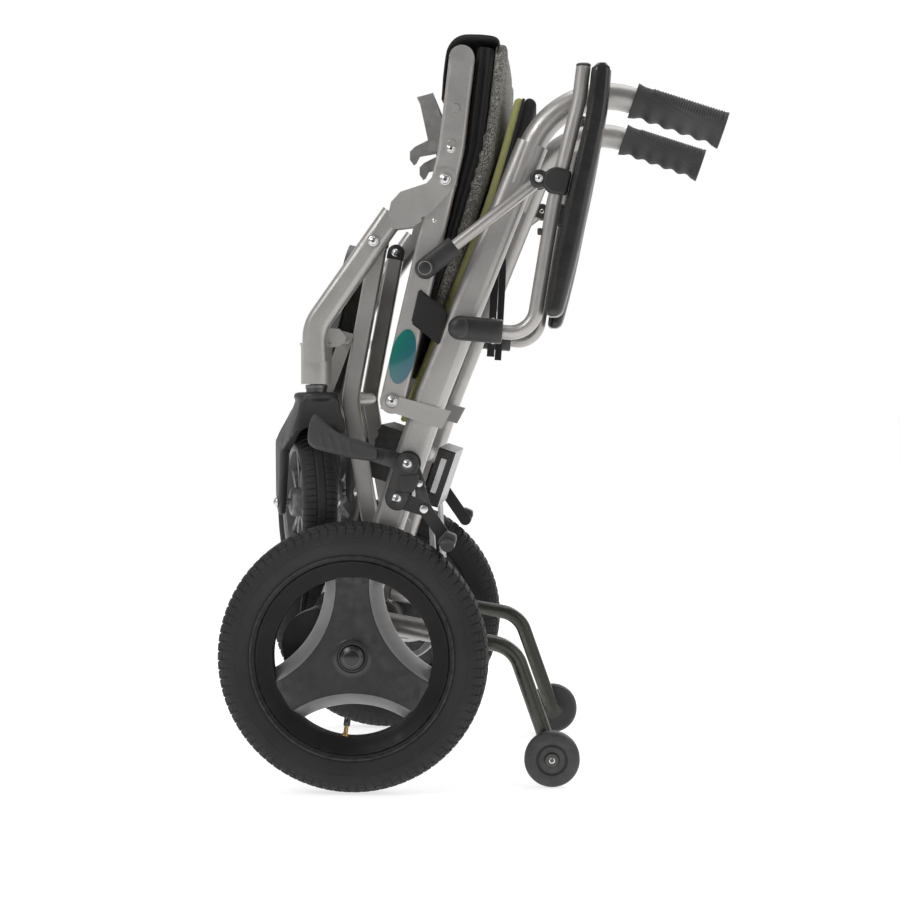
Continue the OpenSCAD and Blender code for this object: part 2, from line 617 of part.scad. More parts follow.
back_tube_left();
back_tube_right();
rear_cross_tubes();
push_grip_left();
push_grip_right();
gearmotor_left();
gearmotor_right();
anti_tip_arms();
battery_case();
controller_box();
backrest_pad();
backrest_band();
backrest_flap();
motor_cables();
brake_brackets();
seat_rail_left();
seat_rail_right();
seat_cross_tubes();
seat_cushion();
seat_sling();
badge_left();
badge_right();
rail_straps();
leg_left();
leg_right();
leg_cross_tubes();
strut_frame();
strut_caps();
arm_tube_left();
arm_tube_right();
arm_pad_left();
arm_pad_right();
arm_fitting_left();
arm_fitting_right();
support_tube_left();
support_tube_right();
support_sleeve_left();
support_sleeve_right();
latch_lever();
footplate_board();
footplate_mat();
rear_tyre_left();
rear_tyre_right();
rear_rim_left();
rear_rim_right();
hub_cap_left();
hub_cap_right();
caster_fork_left();
caster_fork_right();
caster_tyre_left();
caster_tyre_right();
caster_hub_left();
caster_hub_right();
anti_tip_wheel_left();
anti_tip_wheel_right();
brake_lever_left();
brake_lever_right();
brake_shoe_left();
brake_shoe_right();
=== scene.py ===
"""Looks for the folded transport wheelchair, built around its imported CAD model.

Shapes are worked out in millimetres in the CAD frame (+X rearward, +Y to the occupant's right,
+Z up) and become metres when a piece is made. Left pieces are modelled, and the right ones are
their mirror images.
"""
import json
import math

import bmesh
import bpy
from mathutils import Matrix, Vector, noise

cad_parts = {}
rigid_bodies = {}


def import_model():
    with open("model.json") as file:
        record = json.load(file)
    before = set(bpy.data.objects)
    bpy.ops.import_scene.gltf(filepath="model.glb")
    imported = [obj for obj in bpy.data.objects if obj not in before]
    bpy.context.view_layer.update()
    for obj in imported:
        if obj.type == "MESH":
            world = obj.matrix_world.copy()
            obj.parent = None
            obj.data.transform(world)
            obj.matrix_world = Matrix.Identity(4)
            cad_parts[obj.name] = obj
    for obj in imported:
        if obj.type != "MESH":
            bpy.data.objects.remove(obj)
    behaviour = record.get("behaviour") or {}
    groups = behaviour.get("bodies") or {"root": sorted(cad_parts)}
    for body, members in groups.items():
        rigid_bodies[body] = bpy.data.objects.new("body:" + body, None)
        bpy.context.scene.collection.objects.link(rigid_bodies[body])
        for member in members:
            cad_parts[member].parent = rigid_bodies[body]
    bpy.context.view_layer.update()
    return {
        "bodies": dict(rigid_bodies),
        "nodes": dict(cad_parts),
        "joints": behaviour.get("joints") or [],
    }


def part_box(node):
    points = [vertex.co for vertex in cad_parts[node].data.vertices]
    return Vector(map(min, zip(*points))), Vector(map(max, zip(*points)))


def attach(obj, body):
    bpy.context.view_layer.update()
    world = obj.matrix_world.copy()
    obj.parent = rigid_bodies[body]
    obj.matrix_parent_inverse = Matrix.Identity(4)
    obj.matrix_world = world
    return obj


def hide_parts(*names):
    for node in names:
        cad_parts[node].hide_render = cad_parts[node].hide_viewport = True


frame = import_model()
MM = 0.001
JOINTS = {j["name"]: j for j in frame["joints"]}


# ---------------------------------------------------------------- places taken from the frame
def pivot(joint):
    """Where a joint turns, in millimetres."""
    return Vector(JOINTS[joint]["pos_m"]) / MM


def box_mm(node):
    low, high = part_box(node)
    return low / MM, high / MM


def side_point(joint):
    """A joint's place in the side plane: rearward and up."""
    p = pivot(joint)
    return Vector((p.x, p.z))


SEAT_PIVOT = side_point("fold")
LEG_PIVOT = side_point("leg_fold")
ARM_PIVOT = side_point("armrest_swing_left")
SUPPORT_FOOT = side_point("arm_support_swing_left")
BRAKE_PIVOT = side_point("brake_lever_turn_left")
SHOE_PIVOT = side_point("brake_shoe_turn_left")
BRAKE_TAIL = Vector((76.3, 362.1))
RAIL_BEND = Vector((112.5, 755))
RAIL_TOP = Vector((125.3, 864))
SUPPORT_TOP = Vector((216.9, 717.7))
STRUT_TOP, STRUT_BEND = Vector((21, 648)), Vector((-14, 460))
FRAME_Y, RAIL_FACE_Y = -220, -232.6
ARM_Y, SUPPORT_Y = -268, -251


def directions(a, b):
    """Unit vectors from a towards b and square to it, in the side plane."""
    along = (b - a).normalized()
    return along, Vector((-along.y, along.x))


def rail_x(z):
    """The middle of the seat rail at a height."""
    a, b = (SEAT_PIVOT, RAIL_BEND) if z < RAIL_BEND.y else (RAIL_BEND, RAIL_TOP)
    return a.x + (z - a.y) * (b.x - a.x) / (b.y - a.y)


# ---------------------------------------------------------------- shapes in millimetres
def added(name, data):
    """A new object in the scene."""
    obj = bpy.data.objects.new(name, data)
    bpy.context.scene.collection.objects.link(obj)
    return obj


class Shape:
    """Points in millimetres, faces, and a material number for each face."""

    def __init__(self, points=(), faces=(), paints=None):
        self.points = [Vector(p) for p in points]
        self.faces = [tuple(f) for f in faces]
        self.paints = list(paints) if paints is not None else [0] * len(self.faces)

    def __add__(self, other):
        n = len(self.points)
        faces = self.faces + [tuple(i + n for i in f) for f in other.faces]
        return Shape(self.points + other.points, faces, self.paints + other.paints)

    def moved(self, matrix):
        return Shape([matrix @ p for p in self.points], self.faces, self.paints)

    def mirrored(self):
        points = [Vector((p.x, -p.y, p.z)) for p in self.points]
        return Shape(points, [f[::-1] for f in self.faces], self.paints)

    def painted(self, number):
        return Shape(self.points, self.faces, [number] * len(self.faces))


def loft(rings, loop=False, caps=True):
    """A skin through rings of equally many points."""
    n, count = len(rings[0]), len(rings)
    spans = count if loop else count - 1
    faces = []
    for r in range(spans):
        s = (r + 1) % count
        for i in range(n):
            k = (i + 1) % n
            faces.append((r * n + i, r * n + k, s * n + k, s * n + i))
    if caps and not loop:
        faces.append(tuple(reversed(range(n))))
        faces.append(tuple(range((count - 1) * n, count * n)))
    return Shape([p for ring in rings for p in ring], faces)


def full_turn(steps):
    return [2 * math.pi * k / steps for k in range(steps)]


def half_turn(steps):
    return [math.pi * k / steps for k in range(steps + 1)]


def stops(first, last, steps):
    """Evenly spaced values from the first to the last."""
    return [first + (last - first) * k / steps for k in range(steps + 1)]


def lathe(profile, steps=96):
    """A closed profile of (radius, height) points turned about local Z."""
    return loft([[Vector((r * math.cos(a), r * math.sin(a), h)) for r, h in profile]
                 for a in full_turn(steps)], loop=True)


def facing(x, y, z, inward=False):
    """Local X rearward and local Z out to the left, or in to the right, at a place in the frame."""
    out = Matrix(((1, 0, 0, x), (0, 0, -1, y), (0, 1, 0, z), (0, 0, 0, 1)))
    return out @ Matrix.Rotation(math.pi, 4, "X") if inward else out


def anticlockwise(outline):
    area = sum(a.x * b.y - b.x * a.y for a, b in zip(outline, outline[1:] + outline[:1]))
    return outline if area > 0 else outline[::-1]


def rounded(points, radius, steps=5):
    """A polygon whose corners are turned into arcs."""
    corners = [Vector(p) for p in points]
    out = []
    for i, p in enumerate(corners):
        a, b = corners[i - 1] - p, corners[(i + 1) % len(corners)] - p
        reach = min(radius, a.length * 0.48, b.length * 0.48)
        start, end = p + a.normalized() * reach, p + b.normalized() * reach
        for k in range(steps + 1):
            t = k / steps
            out.append(start * (1 - t) ** 2 + p * 2 * t * (1 - t) + end * t * t)
    return anticlockwise(out)


def rounded_box(x0, x1, y0, y1, radius, steps=5):
    return rounded([(x0, y0), (x1, y0), (x1, y1), (x0, y1)], radius, steps)


def inset(outline, depth):
    """An anticlockwise outline moved inward."""
    out = []
    for i, p in enumerate(outline):
        a = (p - outline[i - 1]).normalized()
        b = (outline[(i + 1) % len(outline)] - p).normalized()
        along = (a + b).normalized()
        normal = Vector((-along.y, along.x))
        out.append(p + normal * depth / max(0.6, normal.dot(Vector((-a.y, a.x)))))
    return out


def pillow(outline, y0, y1, edge, steps=4):
    """An outline in the side plane given a thickness from y0 to y1, with rounded edges."""
    outline = anticlockwise([Vector(p) for p in outline])
    low, high = min(y0, y1), max(y0, y1)
    turns = [math.pi / 2 * k / steps for k in range(steps + 1)]
    levels = [(low + edge * (1 - math.cos(a)), edge * (1 - math.sin(a))) for a in turns]
    levels += [(high - edge * (1 - math.cos(a)), edge * (1 - math.sin(a))) for a in reversed(turns)]
    rings = [[Vector((p.x, y, p.y)) for p in inset(outline, d)] for y, d in levels]
    return loft(rings)


def smooth_path(points, count, loop=False):
    """Points along a curve that passes through the given ones."""
    p = [Vector(q) for q in points]
    if not loop:
        p = [p[0] * 2 - p[1]] + p + [p[-1] * 2 - p[-2]]
    spans = len(points) if loop else len(points) - 1
    out = []
    for k in range(count + (0 if loop else 1)):
        u = spans * k / count
        i = min(int(u), spans - 1)
        t = u - i
        if loop:
            a, b, c, d = (p[(i + j - 1) % len(p)] for j in range(4))
        else:
            a, b, c, d = p[i:i + 4]
        out.append(0.5 * (2 * b + (c - a) * t + (2 * a - 5 * b + 4 * c - d) * t * t
                          + (3 * b - a - 3 * c + d) * t ** 3))
    return out


def sweep(path, section, loop=False, caps=True):
    """A section carried along a path. section(share) lists (in-plane, across) offsets."""
    rings = []
    for i, p in enumerate(path):
        before = path[i - 1] if (i or loop) else p
        after = path[(i + 1) % len(path)] if (i + 1 < len(path) or loop) else p
        along = (after - before).normalized()
        normal = along.cross(Vector((0, 1, 0))).normalized()
        across = normal.cross(along)
        ring = [p + normal * u + across * v for u, v in section(i / max(1, len(path) - 1))]
        rings.append(ring)
    return loft(rings, loop, caps)


def ring_section(radius, steps=20):
    return [(radius * math.cos(a), radius * math.sin(a)) for a in full_turn(steps)]


def slab_section(thick, wide, edge):
    """A flat section with rounded edges, thick in the side plane and wide across the chair."""
    return [tuple(p) for p in rounded_box(-thick / 2, thick / 2, -wide / 2, wide / 2, edge, 3)]


def scratch(points, faces):
    """A throwaway object for modifiers to work on."""
    mesh = bpy.data.meshes.new("scratch")
    mesh.from_pydata(points, [], faces)
    return added("scratch", mesh)


def remeshed(obj, voxel):
    """The modifier that fuses an object's solids into one skin."""
    remesh = obj.modifiers.new("remesh", "REMESH")
    remesh.mode = "VOXEL"
    remesh.voxel_size = voxel


def melted(shape, voxel=1.5, rounds=6):
    """The solids of a shape fused into one moulded skin with soft corners."""
    obj = scratch(shape.points, shape.faces)
    remeshed(obj, voxel)
    smooth = obj.modifiers.new("smooth", "SMOOTH")
    smooth.factor = 0.5
    smooth.iterations = rounds
    made = evaluated(obj)
    bpy.data.objects.remove(obj)
    return made


def evaluated(obj):
    done = obj.evaluated_get(bpy.context.evaluated_depsgraph_get()).to_mesh()
    return Shape([v.co.copy() for v in done.vertices], [tuple(p.vertices) for p in done.polygons])


# ---------------------------------------------------------------- materials
class Nodes:
    """Short calls for the nodes of a node tree."""

    def __init__(self, tree):
        self.tree = tree

    def node(self, kind, links=None, **settings):
        made = self.tree.nodes.new(kind)
        for key, value in settings.items():
            setattr(made, key, value)
        for key, value in (links or {}).items():
            self.feed(made.inputs[key], value)
        return made

    def feed(self, socket, value):
        if isinstance(value, bpy.types.NodeSocket):
            self.tree.links.new(value, socket)
        else:
            socket.default_value = value

    def math(self, operation, a, b=0.0):
        return self.node("ShaderNodeMath", {0: a, 1: b}, operation=operation).outputs[0]

    def spread(self, value, low, high, to_low=0.0, to_high=1.0):
        links = {"Value": value, "From Min": low, "From Max": high, "To Min": to_low, "To Max": to_high}
        return self.node("ShaderNodeMapRange", links).outputs["Result"]


class Finish(Nodes):
    """A procedural material."""

    def __init__(self, name):
        self.material = bpy.data.materials.new(name)
        self.material.use_nodes = True
        super().__init__(self.material.node_tree)
        self.shader = self.tree.nodes["Principled BSDF"]
        self.place = self.node("ShaderNodeTexCoord").outputs["Object"]

    def noise(self, scale, detail=2.0):
        links = {"Vector": self.place, "Scale": scale, "Detail": detail}
        return self.node("ShaderNodeTexNoise", links).outputs["Fac"]

    def mix(self, share, a, b):
        made = self.node("ShaderNodeMix", data_type="RGBA")
        for socket, value in zip((made.inputs[0], made.inputs[6], made.inputs[7]), (share, a, b)):
            self.feed(socket, value)
        return made.outputs[2]

    def bump(self, height, depth, distance=0.001):
        links = {"Height": height, "Strength": depth, "Distance": distance}
        return self.node("ShaderNodeBump", links).outputs["Normal"]

    def done(self, **inputs):
        for key, value in inputs.items():
            self.feed(self.shader.inputs[key.replace("_", " ")], value)
        return self.material


def grey(value, warm=0.0):
    return (value * (1 + warm), value, value * (1 - warm), 1)


def moulded(name, low, high, rough, grain=900, depth=0.12, metallic=0.0, wear=0.25, coat=0.0, shine=0.5):
    """Cast or moulded surface: cloudy colour, fine grain, uneven gloss and lighter worn edges."""
    f = Finish(name)
    cloud = f.noise(14, 4)
    fine = f.noise(grain, 2)
    base = f.mix(f.spread(cloud, 0.35, 0.65), low, high)
    edge = f.spread(f.node("ShaderNodeNewGeometry").outputs["Pointiness"], 0.51, 0.58, 0, wear)
    worn = f.math("MULTIPLY", edge, f.spread(f.noise(120, 3), 0.35, 0.6))
    lighter = tuple(min(1.0, c * 2.4 + 0.03) for c in high[:3]) + (1,)
    gloss = f.spread(f.noise(60, 5), 0.3, 0.7, rough - 0.06, rough + 0.08)
    return f.done(Base_Color=f.mix(worn, base, lighter), Roughness=gloss, Metallic=metallic,
                  Coat_Weight=coat, Coat_Roughness=0.25, Specular_IOR_Level=shine,
                  Normal=f.bump(fine, depth, 0.0004))


def painted_metal(name, low, high, rough=0.36):
    """Metallic paint: tiny bright flakes in a satin coat over a cloudy silver grey."""
    f = Finish(name)
    flakes = f.node("ShaderNodeTexVoronoi", {"Vector": f.place, "Scale": 2600}).outputs["Color"]
    flake = f.node("ShaderNodeSeparateColor", {"Color": flakes}).outputs[0]
    base = f.mix(f.spread(f.noise(9, 4), 0.35, 0.65), low, high)
    bright = tuple(min(1.0, c * 1.5) for c in high[:3]) + (1,)
    sparkle = f.mix(f.spread(flake, 0.72, 1.0, 0, 0.45), base, bright)
    peel = f.bump(f.noise(420, 2), 0.05, 0.0005)
    return f.done(Base_Color=sparkle, Metallic=0.62, Normal=peel, Coat_Weight=0.35, Coat_Roughness=0.18,
                  Roughness=f.spread(f.noise(70, 4), 0.3, 0.7, rough - 0.05, rough + 0.08))


def woven(name, low, high, pitch=1.1, depth=0.5, sheen=0.25, rough=0.85, fuzz=0.4):
    """Plain weave from two crossed sets of threads, with slubs and a soft sheen."""
    f = Finish(name)
    split = f.node("ShaderNodeSeparateXYZ", {"Vector": f.place})
    turns = 2 * math.pi / (pitch * MM)
    wobble = f.math("MULTIPLY", f.noise(60, 3), 0.8 * pitch * MM)
    up = f.math("ADD", split.outputs[2], wobble)
    over = f.math("ADD", f.math("ADD", split.outputs[1], f.math("MULTIPLY", split.outputs[0], 0.7)), wobble)
    warp = f.math("SINE", f.math("MULTIPLY", over, turns))
    weft = f.math("SINE", f.math("MULTIPLY", up, turns))
    threads = f.spread(f.math("MULTIPLY", warp, weft), -1, 1)
    slub = f.math("MULTIPLY", f.noise(700, 3), fuzz)
    height = f.math("ADD", threads, slub)
    base = f.mix(f.spread(height, 0.2, 1.2), low, high)
    shade = f.mix(f.spread(f.noise(11, 4), 0.3, 0.7, 0, 0.35), base, low)
    return f.done(Base_Color=shade, Roughness=rough, Sheen_Weight=sheen, Sheen_Roughness=0.5,
                  Normal=f.bump(height, depth, 0.0006))


def tweed(name):
    """Salt-and-pepper tweed: dark and pale threads scattered in a coarse weave."""
    f = Finish(name)
    cells = f.node("ShaderNodeTexVoronoi", {"Vector": f.place, "Scale": 900})
    pick = f.node("ShaderNodeSeparateColor", {"Color": cells.outputs["Color"]}).outputs[0]
    ramp = f.node("ShaderNodeValToRGB", {"Fac": pick})
    ramp.color_ramp.elements[0].color = (0.06, 0.06, 0.056, 1)
    ramp.color_ramp.elements[1].color = (0.74, 0.72, 0.64, 1)
    for place, colour in ((0.4, (0.17, 0.17, 0.155, 1)), (0.75, (0.38, 0.37, 0.33, 1))):
        ramp.color_ramp.elements.new(place).color = colour
    height = f.math("ADD", cells.outputs["Distance"], f.noise(1500, 3))
    shade = f.mix(f.spread(f.noise(25, 3), 0.3, 0.7, 0, 0.3), ramp.outputs["Color"], (0.15, 0.15, 0.14, 1))
    return f.done(Base_Color=shade, Roughness=0.95, Sheen_Weight=0.2, Normal=f.bump(height, 0.9, 0.0012))


def enamel_badge(name):
    """Blank enamel plate: green at its upper front, turning blue towards its lower back."""
    f = Finish(name)
    place = f.node("ShaderNodeSeparateXYZ", {"Vector": f.place}).outputs
    lean = f.math("SUBTRACT", place[2], f.math("MULTIPLY", place[0], 1.5))
    share = f.math("ADD", f.spread(lean, 0.385, 0.455), f.math("MULTIPLY", f.noise(40, 2), 0.12))
    base = f.mix(share, (0.018, 0.075, 0.155, 1), (0.006, 0.150, 0.120, 1))
    return f.done(Base_Color=base, Roughness=0.22, Coat_Weight=0.6, Normal=f.bump(f.noise(300, 2), 0.03))


# Plastics, rubbers and bare metals: name, dark and light tone, roughness, grain scale and depth, then
# metallic, wear, coat and shine where they differ from the usual.
MOULDED = {
    "steel": ("bolt_steel", grey(0.50), grey(0.66), 0.24, 500, 0.05, 1.0, 0.5),
    # Painted shade: the socket finish darkens the floors of bolt sockets, which are the same steel as the
    # heads.
    "socket": ("bolt_socket", grey(0.10), grey(0.16), 0.4, 700, 0.1, 1.0, 0.3),
    "dark_steel": ("blackened_steel", grey(0.035), grey(0.055), 0.38, 700, 0.08, 0.7, 0.5),
    "latch": ("latch_steel", grey(0.30, 0.02), grey(0.38, 0.02), 0.36, 800, 0.08, 0.75, 0.5),
    "arm_paint": ("olive_black_paint", (0.030, 0.030, 0.024, 1), (0.050, 0.049, 0.040, 1), 0.3, 600, 0.06,
                  0.35, 0.3, 0.4),
    "tyre": ("tyre_rubber", grey(0.015), grey(0.024), 0.62, 500, 0.25, 0, 0.35, 0, 0.35),
    "rim": ("rim_black", grey(0.006), grey(0.011), 0.45, 800, 0.06, 0, 0.3, 0, 0.2),
    "spoke": ("spoke_grey", grey(0.022), grey(0.032), 0.5, 1300, 0.2, 0, 0.35, 0, 0.35),
    # Painted light: the wheel centre's sloped walls, made lighter than its black face where they catch the
    # light.
    "wall": ("spoke_wall_grey", grey(0.26), grey(0.34), 0.44, 1300, 0.2, 0.35, 0.4),
    "hub_grey": ("hub_grey", grey(0.16), grey(0.23), 0.42, 900, 0.12, 0.35, 0.5),
    "black": ("black_plastic", grey(0.014), grey(0.026), 0.42, 1100, 0.15, 0, 0.3),
    "fork": ("fork_plastic", grey(0.017), grey(0.028), 0.46, 1500, 0.22, 0, 0.3),
    "gloss": ("gloss_black", grey(0.010), grey(0.016), 0.26, 500, 0.03, 0, 0.2, 0.3),
    "grip": ("grip_rubber", grey(0.034), grey(0.052), 0.66, 1600, 0.3, 0, 0.35),
    "paddle": ("paddle_plastic", grey(0.028), grey(0.042), 0.5, 1300, 0.2, 0, 0.45),
    "motor": ("motor_casting", grey(0.016), grey(0.028), 0.4, 800, 0.2, 0.3, 0.4),
    # Painted highlight: the cables are black, and this light grey stands in for their bright sheen.
    "cable": ("cable_sheath", grey(0.36), grey(0.48), 0.34, 1200, 0.3, 0.5, 0.3),
    "brass": ("valve_brass", (0.42, 0.27, 0.10, 1), (0.52, 0.35, 0.14, 1), 0.3, 500, 0.05, 1.0),
    "label": ("blank_label", grey(0.62), grey(0.74), 0.5, 900, 0.05, 0, 0.0),
    "mat": ("mat_rubber", grey(0.016), grey(0.026), 0.7, 900, 0.3, 0, 0.4),
    "board": ("footplate_grey", grey(0.10), grey(0.14), 0.46, 1100, 0.15, 0.1, 0.4),
}
# Cloths: name, dark and light tone, thread pitch in millimetres, depth and sheen.
WOVEN = {
    "nylon": ("black_nylon", grey(0.006), grey(0.030), 0.9, 0.35, 0.12),
    "webbing": ("black_webbing", grey(0.006), grey(0.026), 2.2, 0.8, 0.1),
    "olive": ("olive_mesh", (0.30, 0.31, 0.10, 1), (0.60, 0.60, 0.27, 1), 2.0, 0.6, 0.2),
}


M = {"paint": painted_metal("silver_paint", grey(0.35, 0.035), grey(0.43, 0.035))}
M.update({key: moulded(*row) for key, row in MOULDED.items()})
M.update({key: woven(*row) for key, row in WOVEN.items()})
M.update({"tweed": tweed("grey_tweed"), "teal": enamel_badge("teal_enamel")})


# ---------------------------------------------------------------- making pieces
def piece(name, shape, finishes, body, nodes=(), slot=None, sharp=38, bevel=0.0, smooth=0):
    """A shape becomes an object in metres that rides on a CAD body."""
    mesh = bpy.data.meshes.new(name)
    mesh.from_pydata([p * MM for p in shape.points], [], shape.faces)
    mesh.polygons.foreach_set("material_index", shape.paints)
    work = bmesh.new()
    work.from_mesh(mesh)
    bmesh.ops.remove_doubles(work, verts=work.verts, dist=1e-6)
    bmesh.ops.recalc_face_normals(work, faces=work.faces)
    work.to_mesh(mesh)
    work.free()
    for key in [finishes] if isinstance(finishes, str) else finishes:
        mesh.materials.append(M[key])
    mesh.polygons.foreach_set("use_smooth", [True] * len(mesh.polygons))
    mesh.set_sharp_from_angle(angle=math.radians(sharp))
    obj = added(name, mesh)
    if bevel:
        soften(obj, bevel)
    if smooth:
        obj.modifiers.new("smooth", "SUBSURF").levels = smooth
        obj.modifiers["smooth"].render_levels = smooth
    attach(obj, body)
    if nodes:
        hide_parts(*nodes)
    return obj


def soften(obj, width):
    """Rounded edges that catch the light."""
    bevel = obj.modifiers.new("edges", "BEVEL")
    bevel.width = width * MM
    bevel.segments = 2
    bevel.limit_method = "ANGLE"
    bevel.angle_limit = math.radians(32)
    bevel.use_clamp_overlap = True
    weighted = obj.modifiers.new("shading", "WEIGHTED_NORMAL")
    weighted.keep_sharp = True


def pair(name, shape, finishes, body, nodes=(), **settings):
    """The left piece and its mirror image on the right."""
    made = []
    for side, built in (("left", shape), ("right", shape.mirrored())):
        rides = body if body in frame["bodies"] else f"{body}_{side}"
        stands = [n if n in frame["nodes"] else f"{n}_{side}" for n in nodes]
        made.append(piece(f"{name}_{side}", built, finishes, rides, stands, **settings))
    return made


def dress(nodes, finish, width=0.7):
    """CAD nodes that keep their shape get a finish and softened edges."""
    for name in nodes.split():
        for node in [name] if name in frame["nodes"] else [f"{name}_left", f"{name}_right"]:
            obj = frame["nodes"][node]
            custom = obj.data.attributes.get("custom_normal")
            if custom:
                obj.data.attributes.remove(custom)
            obj.data.polygons.foreach_set("use_smooth", [True] * len(obj.data.polygons))
            for slot in obj.material_slots:
                slot.material = M[finish]
            weld = obj.modifiers.new("weld", "WELD")
            weld.merge_threshold = 0.00002
            soften(obj, width)


def dress_frame():
    dress("back_tube rear_cross_tubes seat_rail seat_cross_tubes leg leg_cross_tubes strut_frame", "paint")
    dress("arm_tube", "paint", 0.5)
    dress("anti_tip_arms", "arm_paint", 0.5)
    dress("battery_case", "black", 1.6)
    dress("controller_box", "gloss", 1.6)
    dress("gearmotor", "motor", 2.5)
    dress("brake_brackets brake_shoe", "dark_steel", 0.8)
    dress("latch_lever", "latch", 0.6)
    dress("footplate_board", "board", 1.5)
    dress("footplate_mat", "mat", 0.5)


# ---------------------------------------------------------------- bolts, rivets and welds
def bolt_head(radius, height, recess=0.36):
    """A domed socket head: a flanged rim, a rounded crown and a hexagonal socket whose floor is painted dark
    as painted shade.
    """
    rim = [(0, 0), (radius, 0), (radius, height * 0.18), (radius * 0.86, height * 0.3)]
    dome = [(radius * 0.84 * math.cos(a), height * (0.3 + 0.7 * math.sin(a))) for a in (0.2, 0.5, 0.8, 1.05)]
    well = [(radius * recess, height * 0.96), (radius * recess, height * 0.45), (0, height * 0.45)]
    # The socket floor takes the dark socket finish: painted shade at the bottom of the recess.
    floor = lathe([(0, height * 0.45), (radius * recess * 0.98, height * 0.45 + 0.05), (0, height * 0.5)], 6)
    return lathe(rim + dome + well, 30) + floor.painted(1)


def bolts(name, body, places):
    """Bolts on the left of a body, as (place, y, radius), and their twins on the right."""
    shape = Shape()
    for p, y, radius in places:
        shape += bolt_head(radius, radius * 0.55).moved(facing(p.x, y, p.y))
    pair(name, shape, ["steel", "socket"], body, sharp=28)


def weld_bead(centre, normal, radius, thick=1.3):
    """A lumpy ring of weld metal round a tube."""
    turn = Vector((0, 0, 1)).rotation_difference(Vector(normal)).to_matrix().to_4x4()
    rings = []
    for a in full_turn(72):
        fat = thick * (1 + 0.22 * math.sin(a * 17) + 0.2 * noise.noise(Vector((a * 4, radius, 3))))
        out = Vector((math.cos(a), math.sin(a), 0))
        rings.append([out * (radius + fat * math.cos(b)) + Vector((0, 0, fat * math.sin(b)))
                      for b in full_turn(8)])
    return loft(rings, loop=True).moved(Matrix.Translation(Vector(centre)) @ turn)


def fasteners():
    bolts("bolts_back_tube", "rear_frame", [(SEAT_PIVOT, -239.9, 6.0)])
    bolts("bolts_brake", "rear_frame", [(p, -260.4, 6.4) for p in (BRAKE_PIVOT, SHOE_PIVOT)])
    rail = [(Vector((rail_x(z), z)), RAIL_FACE_Y, radius) for z, radius in ((757, 5.2), (672, 2.6))]
    bolts("bolts_seat_rail", "seat", rail)
    bolts("bolts_leg", "front_leg", [(LEG_PIVOT, -239.7, 6.5), (STRUT_TOP, -236.7, 6)])
    bolts("bolts_arm", "armrest", [(SUPPORT_TOP, -278.0, 4.6)])
    pair("weld_head_tube", weld_bead((-50, -203, 526.5), (0, 0, 1), 18.2, 1.5), "paint", "front_leg")
    low = weld_bead((16.8, -205.2, 250), (0, 1, 0), 11.4) + weld_bead((62.6, -205.2, 386), (0, 1, 0), 10)
    pair("weld_cross_tube", low, "paint", "rear_frame")


def strut_caps():
    """Black moulded ends of the struts, round on top, with a bolt through each."""
    d, n = directions(STRUT_BEND, STRUT_TOP)
    radius, faces = 11.4, (-159.6, -140.4)
    middle, foot = STRUT_TOP + d * 7.5, STRUT_TOP - d * 1.5
    crest = [middle - n * (radius * math.cos(a)) + d * (radius * math.sin(a)) for a in half_turn(16)]
    shape = pillow([foot - n * radius] + crest + [foot + n * radius], *faces, 1.2, 2)
    for y, inward in ((faces[0] + 0.2, False), (faces[1] - 0.2, True)):
        shape += bolt_head(5.6, 3.0).moved(facing(middle.x, y, middle.y, inward)).painted(1)
    piece("strut_cap_moulded", shape + shape.mirrored(), ["black", "steel"], "lower_strut", ["strut_caps"],
          slot="black_plastic", sharp=40)


# ---------------------------------------------------------------- rear wheels
def tyre(section, pitches, steps_each, groove):
    """A tyre whose tread is cut by circumferential and crosswise grooves.

    section runs from one bead over the crown to the other as (radius, height, tread share), where a tread
    share from -1 to 1 crosses the tread and anything beyond is sidewall."""
    rings = []
    for k in range(pitches * steps_each):
        phase = k / steps_each
        a = 2 * math.pi * k / (pitches * steps_each)
        ring = []
        for radius, height, share in section:
            cut = groove(phase, share) if abs(share) <= 1 else 0
            ring.append(Vector(((radius - cut) * math.cos(a), (radius - cut) * math.sin(a), height)))
        rings.append(ring)
    return loft(rings, loop=True)


def tread_profile(tyre_r, tyre_w, bead_r, bead_w, shoulder, count=26):
    """(radius, height, tread share) over a tyre: bead, bulging sidewall, shoulder and crown."""
    half = []
    for k in range(12):
        t = k / 12
        height = bead_w + (tyre_w / 2 - bead_w) * math.sin(t * math.pi / 2) ** 0.8
        half.append((bead_r + (shoulder - bead_r) * t, height, 2.0))
    crown = tyre_r - shoulder
    for k in range(count + 1):
        t = math.pi / 2 * k / count
        radius = shoulder + crown * math.sin(t) ** 0.85
        half.append((radius, tyre_w / 2 * max(0.0, math.cos(t)) ** 0.72, 1 - k / count))
    other = [(r, -h, -s if s <= 1 else s) for r, h, s in reversed(half[:-1])]
    return half + other


def rear_groove(phase, share):
    """Depth of the rear tyre's grooves: long and short shoulder lugs, an inner row and a centre rib."""
    side = abs(share)
    phase = (phase + (0.27 if share < 0 else 0)) % 1
    lug_end = 0.93 if phase < 0.5 else 0.80
    across = phase % 0.5 < 0.11
    if side > lug_end:
        return 1.5 * (1 - side) / (1 - lug_end)
    if abs(side - 0.42) < 0.03 or side < 0.05:
        return 2.4
    if side > 0.42:
        return 2.2 if across or (abs(side - 0.62) < 0.03 and phase < 0.5) else 0.0
    return 2.2 if (phase + 0.25 + side * 0.5) % 0.5 < 0.11 else 0.0


def caster_groove(phase, share):
    """Depth of a caster tyre's grooves: ribs across the tread and two lines round its middle."""
    side = abs(share)
    if abs(side - 0.10) < 0.035:
        return 1.5
    if 0.13 < side < 0.88 and (phase + (0.5 if share < 0 else 0)) % 1 < 0.2:
        return 1.2
    return 0.0


